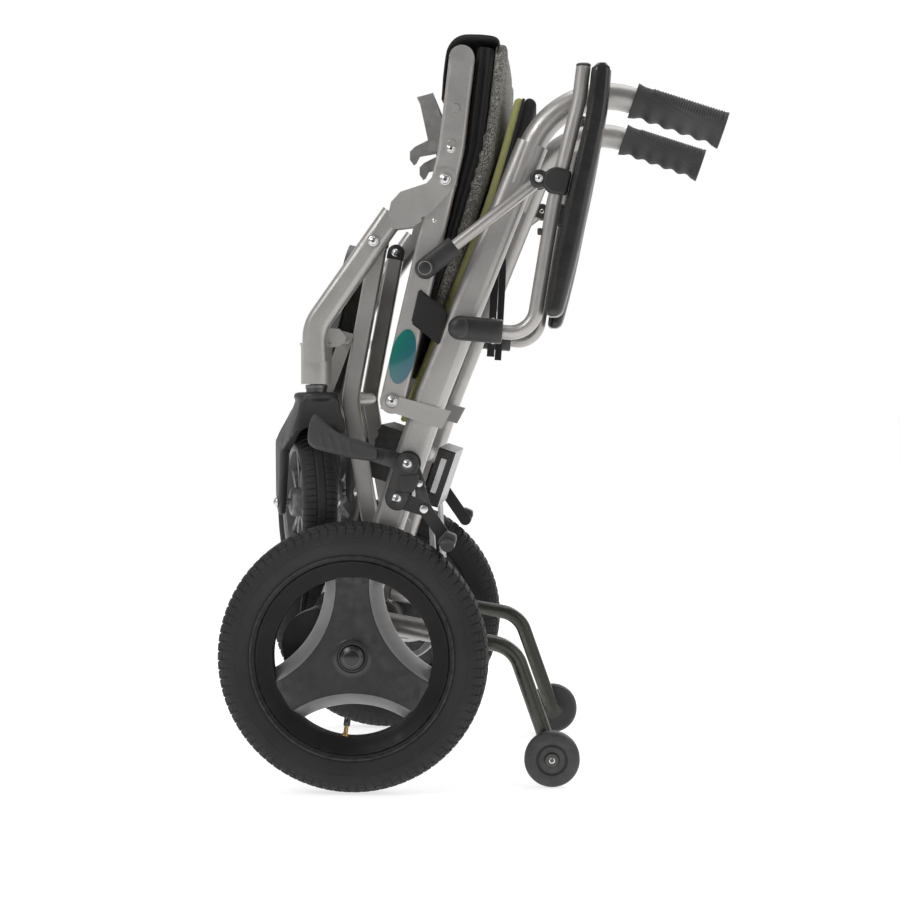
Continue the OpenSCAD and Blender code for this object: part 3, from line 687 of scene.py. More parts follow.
def arc_gap(rim_r, hub_gap, half_angle, steps=18):
    """The curve between two spokes, from rim to rim, bowed in towards the hub. It faces local +X."""
    reach = math.radians(half_angle)
    end = Vector((rim_r * math.cos(reach), rim_r * math.sin(reach)))
    middle = (end.length_squared - hub_gap ** 2) / (2 * (end.x - hub_gap))
    radius = middle - hub_gap
    swing = math.atan2(end.y, middle - end.x)
    return [Vector((middle - radius * math.cos(a), radius * math.sin(a)))
            for a in stops(swing, -swing, steps)]


def spider_outline(rim_r, hub_gap, half_angle):
    """Three spokes joined by curves, as a closed outline."""
    out = []
    for gap in (-90, 30, 150):
        turn = Matrix.Rotation(math.radians(gap), 2)
        out += [turn @ p for p in reversed(arc_gap(rim_r, hub_gap, half_angle))]
    return out


def rear_wheel():
    low, high = box_mm("rear_tyre_left")
    centre = (low + high) / 2
    out = facing(*centre)
    carcass = tyre(tread_profile(158.9, 56.8, 113.3, 19.5, 138), 45, 18, rear_groove)
    lines = lathe([(116, 22), (117.5, 26.4), (119.4, 25.6), (121, 22)], 120)
    lines += lathe([(134.6, 26.6), (135.6, 28.6), (136.6, 27.0)], 120)
    both = lines + lines.moved(Matrix.Scale(-1, 4, (0, 0, 1)))
    pair("rear_tyre_tread", (carcass + both).moved(out), "tyre", "rear_wheel", ["rear_tyre"],
         slot="tyre_rubber", sharp=30)
    band = [(94.4, -17), (93.6, -5), (93.0, 9), (93.8, 12.2), (95.5, 13.4), (101, 15.2), (107, 18),
            (110.8, 20.8), (112.4, 21.6), (113.6, 20.8), (113.6, 16), (113.2, -19.5), (111, -22.6),
            (105, -22), (98, -20.5)]
    rim = lathe(band, 144) + rear_spider()
    pair("rear_wheel_rim", rim.moved(out), ["rim", "spoke", "wall"], "rear_wheel", ["rear_rim"],
         slot="wheel_plastic", sharp=32)
    cap = lathe([(0, 12), (22, 12), (22, 13.6), (20.5, 14.4), (18, 14.4), (17, 13.4), (15.6, 13.4),
                 (15, 15.5), (13.4, 19.5), (9, 22.6), (4, 23.8), (0, 24)], 64)
    pair("hub_cap_and_valve", (cap + air_valve()).moved(out), ["gloss", "brass"], "rear_wheel", ["hub_cap"],
         slot="gloss_plastic", sharp=30)


def air_valve():
    """The valve's rubber cap on a brass stem, which leans out of the rim."""
    place = Matrix.Translation((93, 4, 8)) @ Matrix.Rotation(math.radians(-96), 4, "Y")
    stem = lathe([(0, 0), (4.2, 0), (3.8, 3), (2.6, 4), (2.6, 13), (0, 13)], 20).painted(1)
    cap = lathe([(0, 12), (3.6, 12), (4.1, 13), (4.1, 20), (3.2, 22), (0, 22)], 14)
    return (stem + cap).moved(Matrix.Rotation(math.radians(262), 4, "Z") @ place)


def rear_spider():
    """The three-armed wheel centre: a flat face whose walls slope back and outward. The walls are painted a
    much lighter grey than the face: painted light on one black plastic.
    """
    levels = [(41.0, 48.5, 12.6), (42.2, 48.0, 11.8), (47.5, 45, 3), (56, 40, -9), (57.5, 39, -14)]
    rings = [[Vector((p.x, p.y, height)) for p in spider_outline(95.5, hub_gap, half_angle)]
             for hub_gap, half_angle, height in levels]
    body = loft(rings)
    n = len(rings[0])
    # The sloped side faces take the light wall finish, which is painted light; the flat face takes the dark
    # spoke finish.
    body.paints = [2 if f[0] >= n and len(f) == 4 else 1 for f in body.faces]
    hub = lathe([(0, -30), (26, -30), (27, -28), (28, -14), (0, -14)], 48)
    dish = lathe([(0, 11), (24, 11), (24, 12.9), (23.2, 13.3), (0, 13.3)], 72)
    return body + hub.painted(1) + dish.painted(1)


# ---------------------------------------------------------------- casters
def caster_frame():
    """Local X along the trail, local Y across the wheel and local Z up from the ground."""
    p = pivot("caster_swivel_left")
    axle = Vector(JOINTS["caster_wheel_spin_left"]["axis"])
    return Matrix(((axle.y, axle.x, 0, p.x), (-axle.x, axle.y, 0, p.y), (0, 0, 1, 0), (0, 0, 0, 1)))


def casters():
    at = caster_frame()
    hub_at = at.inverted() @ pivot("caster_wheel_spin_left")
    trail, z = hub_at.x, hub_at.z
    shaft = at @ Matrix.Translation((trail, 0, z)) @ Matrix.Rotation(math.pi / 2, 4, "X")
    tread = tyre(tread_profile(94.9, 41.8, 72.4, 15.5, 82, 20), 74, 10, caster_groove)
    pair("caster_tyre_tread", tread.moved(shaft), "tyre", "caster_wheel", ["caster_tyre"],
         slot="tyre_rubber", sharp=30)
    pair("caster_hub_spokes", caster_hub().moved(shaft), ["hub_grey", "black"], "caster_wheel",
         ["caster_hub"], slot="caster_hub_plastic", sharp=34, bevel=0.8)
    pair("caster_fork_shell", caster_fork().moved(at), "fork", "caster_swivel", ["caster_fork"],
         slot="black_plastic", sharp=60)
    metal = lathe([(0, -37), (5, -37), (5, 37), (0, 37)], 24).moved(shaft)
    for s in (-1, 1):
        turn = Matrix.Translation((trail, s * 37.2, z)) @ Matrix.Rotation(-s * math.pi / 2, 4, "X")
        metal += bolt_head(7, 4).moved(at @ turn)
    stem = lathe([(0, 466), (12.4, 466), (12.4, 473), (13.2, 473.6), (13.2, 477.6), (12, 478.4), (8, 478.4),
                  (8, 514), (0, 514)], 40)
    pair("caster_axle_and_stem", metal + stem.moved(at).painted(1), ["steel", "socket"], "caster_swivel",
         sharp=28)


def caster_hub():
    """Rim band, hub barrel and five forked spokes."""
    hub = lathe([(62, -15), (61, 0), (62, 15), (64, 17), (71.5, 17.4), (72.3, 15.5), (72.3, -15.5),
                 (71.5, -17.4), (64, -17)], 96)
    hub += lathe([(0, -21.5), (10, -21.5), (16, -20), (18, -14), (18, 14), (16, 20), (10, 21.5),
                  (0, 21.5)], 40)
    prong = [(14, 2), (34, 3.6), (63.5, 17.5), (63.5, 24), (31, 9.4), (14, 8)]
    for k in range(5):
        turn = Matrix.Rotation(2 * math.pi * (k + 0.25) / 5, 4, "Z")
        for s in (-1, 1):
            outline = anticlockwise([Vector((x, s * y)) for x, y in prong])
            hub += loft([[Vector((p.x, p.y, h)) for p in outline] for h in (-9, 9)]).moved(turn)
    return hub


def caster_fork():
    """Flange, bell-shaped crown with an arch over the tyre, and two legs that lean back to the axle."""
    flange = lathe([(0, 460), (25, 460), (27.3, 462), (27.5, 465), (26, 468), (22, 469.3), (0, 469.5)], 48)
    stations = [(-22, 0.93, 425, 429), (-18, 0.98, 420, 429), (-6, 1, 414, 429), (8, 1, 408, 429),
                (24, 1, 402, 430), (40, 1, 398, 433), (56, 1, 396, 435), (68, 0.99, 400, 435),
                (75, 0.95, 408, 434.5)]
    crown = loft([crown_section(*station) for station in stations])
    sections = [(51, 31.4, 412, 46, 12.2), (54, 31.6, 392, 38, 12), (57, 31.8, 368, 31, 11.4),
                (60, 31.8, 345, 26, 10.6), (60, 31.6, 332, 23, 9.8), (60, 31.4, 320, 15, 8)]
    legs = Shape()
    for s in (-1, 1):
        legs += loft([[Vector((x + p.x, s * y + p.y, h))
                       for p in rounded_box(-deep / 2, deep / 2, -wide / 2, wide / 2, 4, 3)]
                      for x, y, h, deep, wide in sections])
    return melted(flange + crown + legs, 1.3, 22)


def crown_section(x, share, foot, arch):
    """The crown cut across the trail: a bell outside, a round arch inside."""
    top, opening = 462 - 0.0026 * max(0, x - 6) ** 2, 23.8
    levels = [(396, 37.4), (412, 36.4), (424, 33.4), (440, 28.4), (452, 25.6), (470, 24)]

    def bell(h):
        taper = 9 * min(1, max(0, (x - 8) / 55)) * min(1, max(0, (h - 416) / 34))
        (h0, w0), (h1, w1) = next(span for span in zip(levels, levels[1:]) if h <= span[1][0])
        return share * (w0 + (w1 - w0) * (h - h0) / (h1 - h0)) - taper

    edge = [(bell(h), h) for h in (foot + (top - 5 - foot) * k / 12 for k in range(13))]
    edge += [(bell(top) - 1.4, top - 1.6), (bell(top) - 5, top)]
    outer = [(-y, h) for y, h in edge] + [(y, h) for y, h in reversed(edge)]
    spring = min(arch - 4, max(foot, arch - 17))
    inner = [(opening * math.cos(a), spring + (arch - spring) * math.sin(a)) for a in half_turn(16)]
    return [Vector((x, y, h)) for y, h in outer + [(opening, foot)] + inner + [(-opening, foot)]]


# ---------------------------------------------------------------- anti-tip wheels
def anti_tip_wheels():
    p = pivot("anti_tip_spin_left")
    low, high = box_mm("anti_tip_wheel_left")
    disc = lathe([(8, -11.5), (12, -11.5), (14, -9.5), (29, -10), (31.6, -8.6), (33, -6), (33, 6),
                  (31.6, 8.6), (29, 10), (20, 10.2), (18.6, 9.8), (18, 7.8), (16.4, 7.8), (15.8, 9.6),
                  (14.5, 10.4), (9, 10.6), (8, 9.6)], 72)
    pair("anti_tip_wheel_disc", disc.moved(facing(p.x, (low.y + high.y) / 2, p.z)), "paddle", "anti_tip",
         ["anti_tip_wheel"], slot="wheel_plastic", sharp=28)
    pair("anti_tip_bolt", bolt_head(6.2, 3.6).moved(facing(p.x, low.y - 0.6, p.z)), ["steel", "socket"],
         "rear_frame", sharp=28)


# ---------------------------------------------------------------- push grips
GRIP_LENGTH = 112.0
HANDLE_CORNER = Vector((241.1, 843))
HANDLE_DIR, HANDLE_UP = directions(HANDLE_CORNER, Vector((425, 780.7)))


def push_grips():
    """Rubber grips: serrated thumb pad above, five finger scallops below and a raised line on each side."""
    start = HANDLE_CORNER + HANDLE_DIR * 91.5
    rings = []
    for u in stops(0, 1, 200):
        centre = start + HANDLE_DIR * (u * GRIP_LENGTH)
        ring = []
        for a in full_turn(88):
            radius = grip_radius(u, math.cos(a))
            p = centre + HANDLE_UP * (radius * math.cos(a) * 1.03)
            ring.append(Vector((p.x, FRAME_Y + radius * math.sin(a) * 0.94, p.y)))
        rings.append(ring)
    middle = Vector((start.x, FRAME_Y, start.y))
    first = [middle + (p - middle) * 0.8 for p in rings[0]]
    pair("push_grip_rubber", loft([first] + rings), "grip", "rear_frame", ["push_grip"], slot="grip_rubber",
         sharp=50)


def grip_radius(u, up):
    """Radius of a grip at a share of its length, where up runs from -1 below to 1 on top."""
    radius = 19.0 + 1.2 * u + 1.8 * math.exp(-(u / 0.05) ** 2) + 1.6 * math.exp(-((1 - u) / 0.05) ** 2)
    if 0.05 < u < 0.93:
        finger = 0.5 - 0.5 * math.cos(2 * math.pi * (u * 5.6 - 0.3))
        radius -= 3.0 * (max(0.0, 0.45 - up) / 1.45) ** 1.3 * finger
    pad_edge = 0.80 - 1.25 * max(0.0, u - 0.1) + 2.25 * max(0.0, u - 0.62)
    if up > max(0.25, pad_edge) and 0.16 < u < 0.95:
        radius += 0.5 + (0.9 if (u * 34) % 1 < 0.5 else 0)
    if 0.08 < u < 0.95:
        for line in (0.62 - 0.95 * u ** 1.2, 0.36 - 1.15 * u ** 1.6):
            radius -= 0.8 * math.exp(-((up - line) / 0.045) ** 2)
    return radius


# ---------------------------------------------------------------- armrests
ARM_LINE = [Vector((174.6, 539.7)), Vector((209, 536.4)), Vector((234, 690)), Vector((264, 811))]


def capsule(a, b, radius_a, radius_b, y, squeeze):
    """A moulded sleeve from a round nose at a to a flat end at b, in the side plane."""
    d, n = directions(a, b)
    length = (b - a).length
    nose = [math.pi / 2 * k / 6 for k in range(1, 7)]
    stations = [(-math.cos(t) * radius_a, math.sin(t) * radius_a) for t in nose]
    stations += [(length * t, radius_a + (radius_b - radius_a) * t) for t in (0.25, 0.5, 0.75, 0.97)]
    rings = []
    for along, r in stations + [(length, radius_b - 1.0)]:
        ring = []
        for t in full_turn(36):
            c, s = math.cos(t), math.sin(t)
            p = a + d * along + n * (r * math.copysign(abs(c) ** 0.8, c))
            ring.append(Vector((p.x, y + r * squeeze * math.copysign(abs(s) ** 0.7, s), p.y)))
        rings.append(ring)
    return loft(rings)


def pivot_cap(place, y):
    """A moulded dome that hides the end of a pivot pin."""
    dome = [(11.6 * math.cos(a), 5.2 * math.sin(a)) for a in (0, 0.3, 0.6, 0.9, 1.2, 1.4)]
    return lathe([(0, 0)] + dome + [(0, 5.2)], 40).moved(facing(place.x, y, place.y))


def arm_pad():
    """The padded rest: fat in the middle, slimmer towards its foot, with blunt rounded ends."""
    front = smooth_path([(224.5, 557), (228.5, 585), (237.5, 636), (249, 694), (262.6, 752), (272.5, 800),
                         (278, 849.8)], 60)
    back = smooth_path([(244, 557), (252, 585), (264.5, 636), (276.4, 694), (288.5, 752), (297, 800),
                        (301.5, 849.8)], 60)
    outline = rounded_box(-1, 1, -1, 1, 0.7, 8)
    rings = []
    for a, b in zip(front, back):
        end = min(1.0, (a - front[0]).length / 8, (a - front[-1]).length / 8)
        share = 0.5 + 0.5 * math.sqrt(1 - (1 - end) ** 2)
        middle, half = (a + b) / 2, (b - a) / 2 * share
        across = 23 * (0.7 + 0.3 * share)
        rings.append([Vector((middle.x + half.x * p.x, ARM_Y + across * p.y, middle.y + half.y * p.x))
                      for p in outline])
    return loft(rings)


def armrests():
    pair("arm_pad_cushion", arm_pad(), "gloss", "armrest", ["arm_pad"], slot="gloss_plastic", sharp=50)
    arm_fitting()
    arm_support()
    nub = ARM_LINE[2] + (ARM_LINE[1] - ARM_LINE[2]).normalized() * 34 + Vector((-9.5, 0))
    outline = rounded_box(nub.x - 4, nub.x + 2, nub.y - 4, nub.y + 4, 2)
    pair("arm_tube_nub", pillow(outline, ARM_Y + 4, ARM_Y - 4, 1.5), "black", "armrest")
    top = ARM_LINE[3] + Vector((4.5, 37))
    cap = lathe([(0, 0), (8.6, 0), (8.6, 2), (7, 3.4), (0, 3.6)], 30)
    pair("arm_tube_end_cap", cap.moved(Matrix.Translation((top.x, ARM_Y, top.y))), "black", "armrest")


def arm_fitting():
    """The armrest's moulded knuckle, and the clip that holds its support link."""
    d, _ = directions(ARM_PIVOT, ARM_LINE[0])
    knuckle = capsule(ARM_PIVOT, ARM_PIVOT + d * 49.3, 14.4, 14.4, ARM_Y, 0.86) + pivot_cap(ARM_PIVOT, -280.0)
    screws = Shape()
    for s in (-1, 1):
        place = Matrix.Translation((ARM_PIVOT.x + d.x * 38, ARM_Y, ARM_PIVOT.y + d.y * 38 + s * 13.4))
        screws += bolt_head(2.6, 2).moved(place @ Matrix.Rotation(0 if s > 0 else math.pi, 4, "X"))
    pair("arm_fitting_screws", screws, ["steel", "socket"], "armrest", sharp=28)
    d, side = directions(*ARM_LINE[2:])
    at = ARM_LINE[2] + d * 25
    block = [at + d * u + side * v
             for u, v in ((-15, -12.5), (15, -12.5), (16, 8), (8, 18), (-8, 18), (-16, 8))]
    lobe = [SUPPORT_TOP + Vector((math.cos(a), math.sin(a))) * 11 for a in full_turn(24)]
    link = [at + d * 9 + side * 6, at - d * 9 + side * 6, SUPPORT_TOP - d * 8, SUPPORT_TOP + d * 8]
    clip = pillow(rounded(block, 5), -256.5, -280, 3) + pillow(lobe, -260.8, -276, 3)
    clip += pillow(link, -261, -275.6, 1)
    pair("arm_fitting_moulded", melted(clip, 1.0, 4) + knuckle, "black", "armrest", ["arm_fitting"],
         slot="black_plastic", sharp=50)


def arm_support():
    """The support link: a moulded sleeve at its foot, a painted tube, and a boss on its inner side."""
    d, _ = directions(SUPPORT_FOOT, SUPPORT_TOP)
    sleeve = capsule(SUPPORT_FOOT, SUPPORT_FOOT + d * 44, 12.6, 12.4, SUPPORT_Y, 0.66)
    pair("support_sleeve_moulded", sleeve + pivot_cap(SUPPORT_FOOT, -259.0), "black", "arm_support",
         ["support_sleeve"], slot="black_plastic", sharp=50)
    start = SUPPORT_FOOT + d * 38
    length = (SUPPORT_TOP - start).length
    lay = Vector((0, 0, 1)).rotation_difference(Vector((d.x, 0, d.y))).to_matrix().to_4x4()
    tube = lathe([(0, 0), (7.1, 0), (7.1, length), (5.6, length + 4), (0, length + 5)], 40)
    pair("support_tube_painted", tube.moved(Matrix.Translation((start.x, SUPPORT_Y, start.y)) @ lay), "paint",
         "arm_support", ["support_tube"], slot="frame_paint", sharp=50)
    boss = lathe([(0, 0), (10.6, 0), (10.6, 3), (9.8, 4), (0, 4)], 40).painted(1)
    boss += bolt_head(5, 6.8).painted(0)
    pair("support_inner_boss", boss.moved(facing(SUPPORT_TOP.x, -243.6, SUPPORT_TOP.y, True)),
         ["steel", "black"], "arm_support", sharp=40)


# ---------------------------------------------------------------- soft goods
def puffed(shape, voxel, pressure, cap, held, frames=20):
    """The shape as a stuffed cushion: remeshed, inflated as cloth, with its movement capped.

    held(point) is how firmly a point is held, from 0 to 1."""
    obj = scratch([p * MM for p in shape.points], shape.faces)
    remeshed(obj, voxel * MM)
    start = evaluated(obj)
    bpy.data.objects.remove(obj)
    obj = scratch(start.points, start.faces)
    group = obj.vertex_groups.new(name="held")
    for i, p in enumerate(start.points):
        group.add([i], held(p / MM), "REPLACE")
    cloth = obj.modifiers.new("cloth", "CLOTH").settings
    stiffness = {"tension_stiffness": 12, "compression_stiffness": 12, "shear_stiffness": 4,
                 "bending_stiffness": 0.4}
    for key, value in {"quality": 5, "mass": 0.3, **stiffness, "use_pressure": True,
                       "uniform_pressure_force": pressure, "vertex_group_mass": "held"}.items():
        setattr(cloth, key, value)
    cloth.effector_weights.gravity = 0
    scene = bpy.context.scene
    for f in range(1, frames + 1):
        scene.frame_set(f)
    blown = evaluated(obj)
    scene.frame_set(1)
    points = []
    for a, b in zip(start.points, blown.points):
        move = b - a
        points.append((a + move * min(1.0, cap * MM / max(move.length, 1e-9))) / MM)
    bpy.data.objects.remove(obj)
    return Shape(points, start.faces)


def strip(points, thick, wide, y, count=60, edge=0.6):
    """A flat strap along a path in the side plane."""
    path = [Vector((p.x, y, p.y)) for p in smooth_path([Vector(q) for q in points], count)]
    return sweep(path, lambda t: slab_section(thick, wide, edge))


def cord(points, radius, count=80, loop=False):
    path = smooth_path([Vector(p) for p in points], count, loop)
    return sweep(path, lambda t: ring_section(radius, 10), loop)


CUSHION_GAP, TWEED_DEPTH = 15.6, 14.5
SOFT_LEVEL = 1


def cushion_depth(z):
    """Thickness of the cushion above the rails: thin at the back of the seat, full at its front."""
    return 12 + 24 * min(1.0, max(0.0, (z - 545) / 225)) ** 0.75


def seam_depth(z):
    """How far above its underside the cushion's tweed layer starts."""
    return max(3.0, cushion_depth(z) - TWEED_DEPTH)


def cushion_layer(first, last, start, end):
    """The side outline of the cushion between two depths, which change with the height."""
    rows = stops(first, last, 24)
    low = [(rail_x(z) + CUSHION_GAP + start(z), z) for z in rows]
    return low + [(rail_x(z) + CUSHION_GAP + end(z), z) for z in reversed(rows)]


def held_below(p, depth):
    """1 for a point of the cushion that is nearer its underside than a depth, else 0."""
    return 1.0 if p.x < rail_x(p.z) + CUSHION_GAP + depth else 0.0


def seat_cushion():
    """A tapering boxed cushion: black below, a tweed layer on top, and two piped seams round its side."""
    half = box_mm("seat_cushion")[1].y - 4
    body = pillow(cushion_layer(545, 883, lambda z: 0, seam_depth), -half, half, 2.0, 3)
    soft = puffed(body, 5.0, 4, 2.0, lambda p: held_below(p, 2))
    piece("seat_cushion_body", soft, "nylon", "seat", ["seat_cushion"], slot="black_fabric", sharp=70,
          smooth=SOFT_LEVEL)
    top = cushion_layer(546, 887, lambda z: seam_depth(z) + 0.6, cushion_depth)
    cover = pillow(rounded(top, 4), -half, half, 3.0, 4)
    soft = puffed(cover, 5.0, 4, 3.0, lambda p: held_below(p, seam_depth(p.z) + 2.5))
    piece("seat_cushion_tweed", soft, "tweed", "seat", ["seat_cushion"], slot="seat_fabric", sharp=70,
          smooth=SOFT_LEVEL)
    seams = Shape()
    for share in (0.22, 0.62):
        for side in (-half - 0.6, half + 0.6):
            line = [(rail_x(z) + CUSHION_GAP + share * seam_depth(z), side, z) for z in stops(556, 880, 8)]
            seams += cord(line, 1.7)
    piece("seat_cushion_piping", seams, "nylon", "seat", slot="black_fabric", sharp=70)


def seat_sling():
    """The black cover stretched over the rails, folded over the front edge with a short flap."""
    hood = [(166, 874), (168.5, 884), (165, 890), (155, 892.5), (141, 893.5), (126, 893), (115.5, 888),
            (109, 879), (106.5, 868), (104.8, 850), (103, 832), (101.5, 818)]
    path = [(rail_x(z) + 12.6, z) for z in (486, 560, 640, 700, 755, 810, 866)]
    for name, line in (("seat_sling_cloth", path), ("seat_front_hood", hood)):
        piece(name, draped(smooth_path(line, 70), 205, 40), "nylon", "seat", ["seat_sling"],
              slot="black_fabric", sharp=60)


def draped(line, half, steps):
    """Cloth that follows a line in the side plane across the chair, with shallow wrinkles."""
    rings = []
    for y in stops(-half, half, steps):
        sag = 1.6 * (1 - (y / half) ** 2)
        inner, outer = [], []
        for j, p in enumerate(line):
            _, n = directions(line[max(j - 1, 0)], line[min(j + 1, len(line) - 1)])
            wrinkle = 0.7 * noise.noise(Vector((y * 0.02, p.y * 0.03, 4)))
            wrinkle += 0.3 * noise.noise(Vector((y * 0.08, p.y * 0.05, 9)))
            q = p - n * (wrinkle - sag)
            inner.append(Vector((q.x, y, q.y)))
            outer.append(Vector((q.x - n.x * 1.8, y, q.y - n.y * 1.8)))
        rings.append(inner + outer[::-1])
    return loft(rings)


REST_LOW, REST_HIGH = Vector((47, 429)), Vector((204, 829))
REST_LENGTH = (REST_HIGH - REST_LOW).length
REST_DIR, REST_FRONT = directions(REST_LOW, REST_HIGH)
REST_OUT = -REST_FRONT


def leaned(shape):
    """The top of the backrest curves towards the seat."""
    bend = [14 * (max(0.0, p.z - 690) / 139) ** 1.3 for p in shape.points]
    return Shape([Vector((p.x - b, p.y, p.z)) for p, b in zip(shape.points, bend)], shape.faces, shape.paints)


def rest_slab(front, back, start, end, radius):
    """The side outline of a backrest layer: its depths, its distances from both ends and its corners."""
    low, high = REST_LOW + REST_DIR * start, REST_LOW + REST_DIR * (REST_LENGTH - end)
    corners = [low + REST_OUT * front, high + REST_OUT * front, high + REST_OUT * back, low + REST_OUT * back]
    return rounded(corners, radius)


def held_by_quilting(p):
    """Points near the quilting lines, which are 78 mm apart, are held."""
    along = (Vector((p.x, p.z)) - REST_LOW).dot(REST_DIR)
    return 0.9 if abs((along % 78) - 39) < 3 else 0.0


def backrest():
    """Olive mesh layer in front, a quilted black pad behind it and a hanging rear cover."""
    band = pillow(rest_slab(0, 9.4, 4, 4, 3), -193, 193, 2.5, 3)
    piece("backrest_mesh_layer", leaned(puffed(band, 5.0, 3, 1.0, lambda p: 0.0)), "olive", "rear_frame",
          ["backrest_band"], slot="back_band_fabric", sharp=70, smooth=SOFT_LEVEL)
    pad = pillow(rest_slab(10.4, 26, 3, 1, 8), -193, 193, 5, 4)
    piece("backrest_quilted_pad", leaned(puffed(pad, 5.0, 4, 2.2, held_by_quilting)), "nylon", "rear_frame",
          ["backrest_pad"], slot="black_fabric", sharp=70, smooth=SOFT_LEVEL)
    line = [REST_LOW + REST_DIR * along + REST_OUT * 10 for along in stops(6, REST_LENGTH - 6, 6)]
    piping = Shape()
    for y in (-195, 195):
        piping += cord([(p.x, y, p.y) for p in line], 1.6)
    piece("backrest_piping", leaned(piping), "nylon", "rear_frame", slot="black_fabric", sharp=70)
    rear_cover()


COVER_LOW = REST_LOW + REST_DIR * 26 + REST_OUT * 29
COVER_HIGH = COVER_LOW + REST_DIR * 272


def cover_sheet(start, end, half, lift, thick, rows):
    """A rippled sheet on the back of the rear cover, between two shares of its height."""
    rings = []
    for y in stops(-half, half, 48):
        front, back = [], []
        for share in stops(start, end, rows):
            p = COVER_LOW.lerp(COVER_HIGH, share)
            ripple = 0.9 * noise.noise(Vector((y * 0.018, p.y * 0.012, 2)))
            ripple += 0.35 * noise.noise(Vector((y * 0.07, p.y * 0.05, 6)))
            q, r = p + REST_OUT * (ripple + lift), p + REST_OUT * (ripple + lift + thick)
            front.append(Vector((q.x, y, q.y)))
            back.append(Vector((r.x, y, r.y)))
        rings.append(front + back[::-1])
    return loft(rings)


def rear_cover():
    """The rear cover: cloth hanging behind the pad, with sewn-on webbing and two loose strap ends."""
    piece("backrest_rear_cover", cover_sheet(0, 1, 196, 0, 2, 50), "nylon", "rear_frame", ["backrest_flap"],
          slot="black_fabric", sharp=60)
    straps = Shape()
    for share in (0.14, 0.38, 0.62, 0.86):
        straps += cover_sheet(share - 0.045, share + 0.045, 188, 2.02, 1.1, 8)
    piece("backrest_tension_straps", straps, "webbing", "rear_frame", slot="black_fabric", sharp=60)
    ends = Shape()
    for y in (-180, 180):
        ends += strip([(164, 650), (164.5, 630), (162.5, 590), (160, 545), (158, 512)], 9, 2.4, y)
    piece("backrest_strap_ends", ends, "webbing", "rear_frame", slot="black_fabric", sharp=60)


def rail_straps():
    """Hook-and-loop straps that leave the seat rails at a slant, with a doubled tail."""
    d, n = directions(SEAT_PIVOT, RAIL_BEND)
    start = Vector((rail_x(545), 545))
    shape = Shape()
    for grow, wide, shift in ((0.0, 42, 0), (1.2, 37, 2.5)):
        section = rounded_box(2 - grow, 37 + grow, -14.1 - grow, 14.1 + grow, 4, 4)
        rings = []
        for along in stops(shift + 3, shift + 3 + wide, 14):
            ruffle = 0.1 * math.sin(along * 1.3)
            places = [(start + d * (along - 0.47 * (q.x - 8)) - n * (q.x + ruffle), q.y) for q in section]
            rings.append([Vector((p.x, FRAME_Y + across, p.y)) for p, across in places])
        shape += thickened(loft(rings, caps=False), 1.3)
    pair("rail_strap_webbing", shape, "webbing", "seat", ["rail_straps"], slot="black_fabric", sharp=60)


def thickened(shape, thick):
    """An open skin given a thickness."""
    obj = scratch(shape.points, shape.faces)
    solid = obj.modifiers.new("thick", "SOLIDIFY")
    solid.thickness = thick
    solid.offset = 0
    made = evaluated(obj)
    bpy.data.objects.remove(obj)
    return made


# ---------------------------------------------------------------- brakes
def brakes():
    paddle = smooth_path([(-46.4, 443.6), (-50.5, 439), (-53.4, 430.7), (-55, 420), (-54.6, 411), (-51, 406),
                          (-44, 402), (-25, 396.6), (-5.2, 391.9), (10, 389.4), (24, 388.8), (27, 392),
                          (27, 401), (24, 405.4), (16, 410), (2, 414.6), (-10, 418), (-22.9, 424.8),
                          (-33, 434), (-40.5, 441)], 100, True)
    grip = pillow(paddle, -247.6, -262, 4.6, 5)
    for k in range(4):
        x = -38 + 11 * k
        grip += capsule(Vector((x + 2, 404 - 2.2 * k)), Vector((x - 2, 421 - 2.6 * k)), 2.2, 2.2, -260.8, 0.9)
    brake_covers()
    lever = link_plate(BRAKE_PIVOT, BRAKE_TAIL, 12, 7, -247.2, -251.4)
    lever += link_plate(BRAKE_PIVOT, Vector((0, 402)), 11, 7, -247.2, -251.4)
    pair("brake_paddle", melted(grip, 1.0, 3) + lever.painted(1), ["paddle", "dark_steel"], "brake_hand",
         ["brake_lever"], slot="black_plastic", sharp=50)


def brake_covers():
    """The kidney-shaped cover over both brake pivots, the link to the shoe, and its moulded block."""
    boss = [(53, 371), (75.5, 373.5), (76.5, 364), (69, 351), (54.5, 352)]
    shape = link_plate(BRAKE_PIVOT, SHOE_PIVOT, 13.4, 12.6, -257.4, -260.4)
    shape += pillow(rounded(boss, 4), -257.6, -263.2, 1.6, 3)
    for p in (BRAKE_PIVOT, SHOE_PIVOT):
        cap = lathe([(0, 0), (9.4, 0), (9.4, 0.8), (8.6, 1.4), (0, 1.4)], 40)
        shape += cap.moved(facing(p.x, -260.0, p.y))
    pair("brake_pivot_cover", shape, "fork", "rear_frame", slot="black_plastic", sharp=40)
    knee = Vector((82, 331.8))
    link = link_plate(BRAKE_TAIL, knee, 5.6, 8.4, -252.6, -256.1)
    for p, radius, height in ((BRAKE_TAIL, 4.2, 1.1), (knee, 4.8, 4.4)):
        pin = lathe([(0, 0), (radius, 0), (radius, height - 0.4), (radius - 0.8, height), (0, height)], 32)
        link += pin.moved(facing(p.x, -256.0, p.y)).painted(1)
    pair("brake_link", link, ["dark_steel", "steel"], "brake_shoe_arm", sharp=40)
    block = [(109, 308), (121, 303), (121, 294), (115.5, 289.5), (112.5, 284), (108.5, 285), (103.5, 290.5),
             (98.5, 293.5), (101, 299)]
    pair("brake_shoe_block", pillow(rounded(block, 3), -263, -291, 2.2, 3), "paddle", "brake_shoe_arm",
         slot="black_plastic", sharp=45)


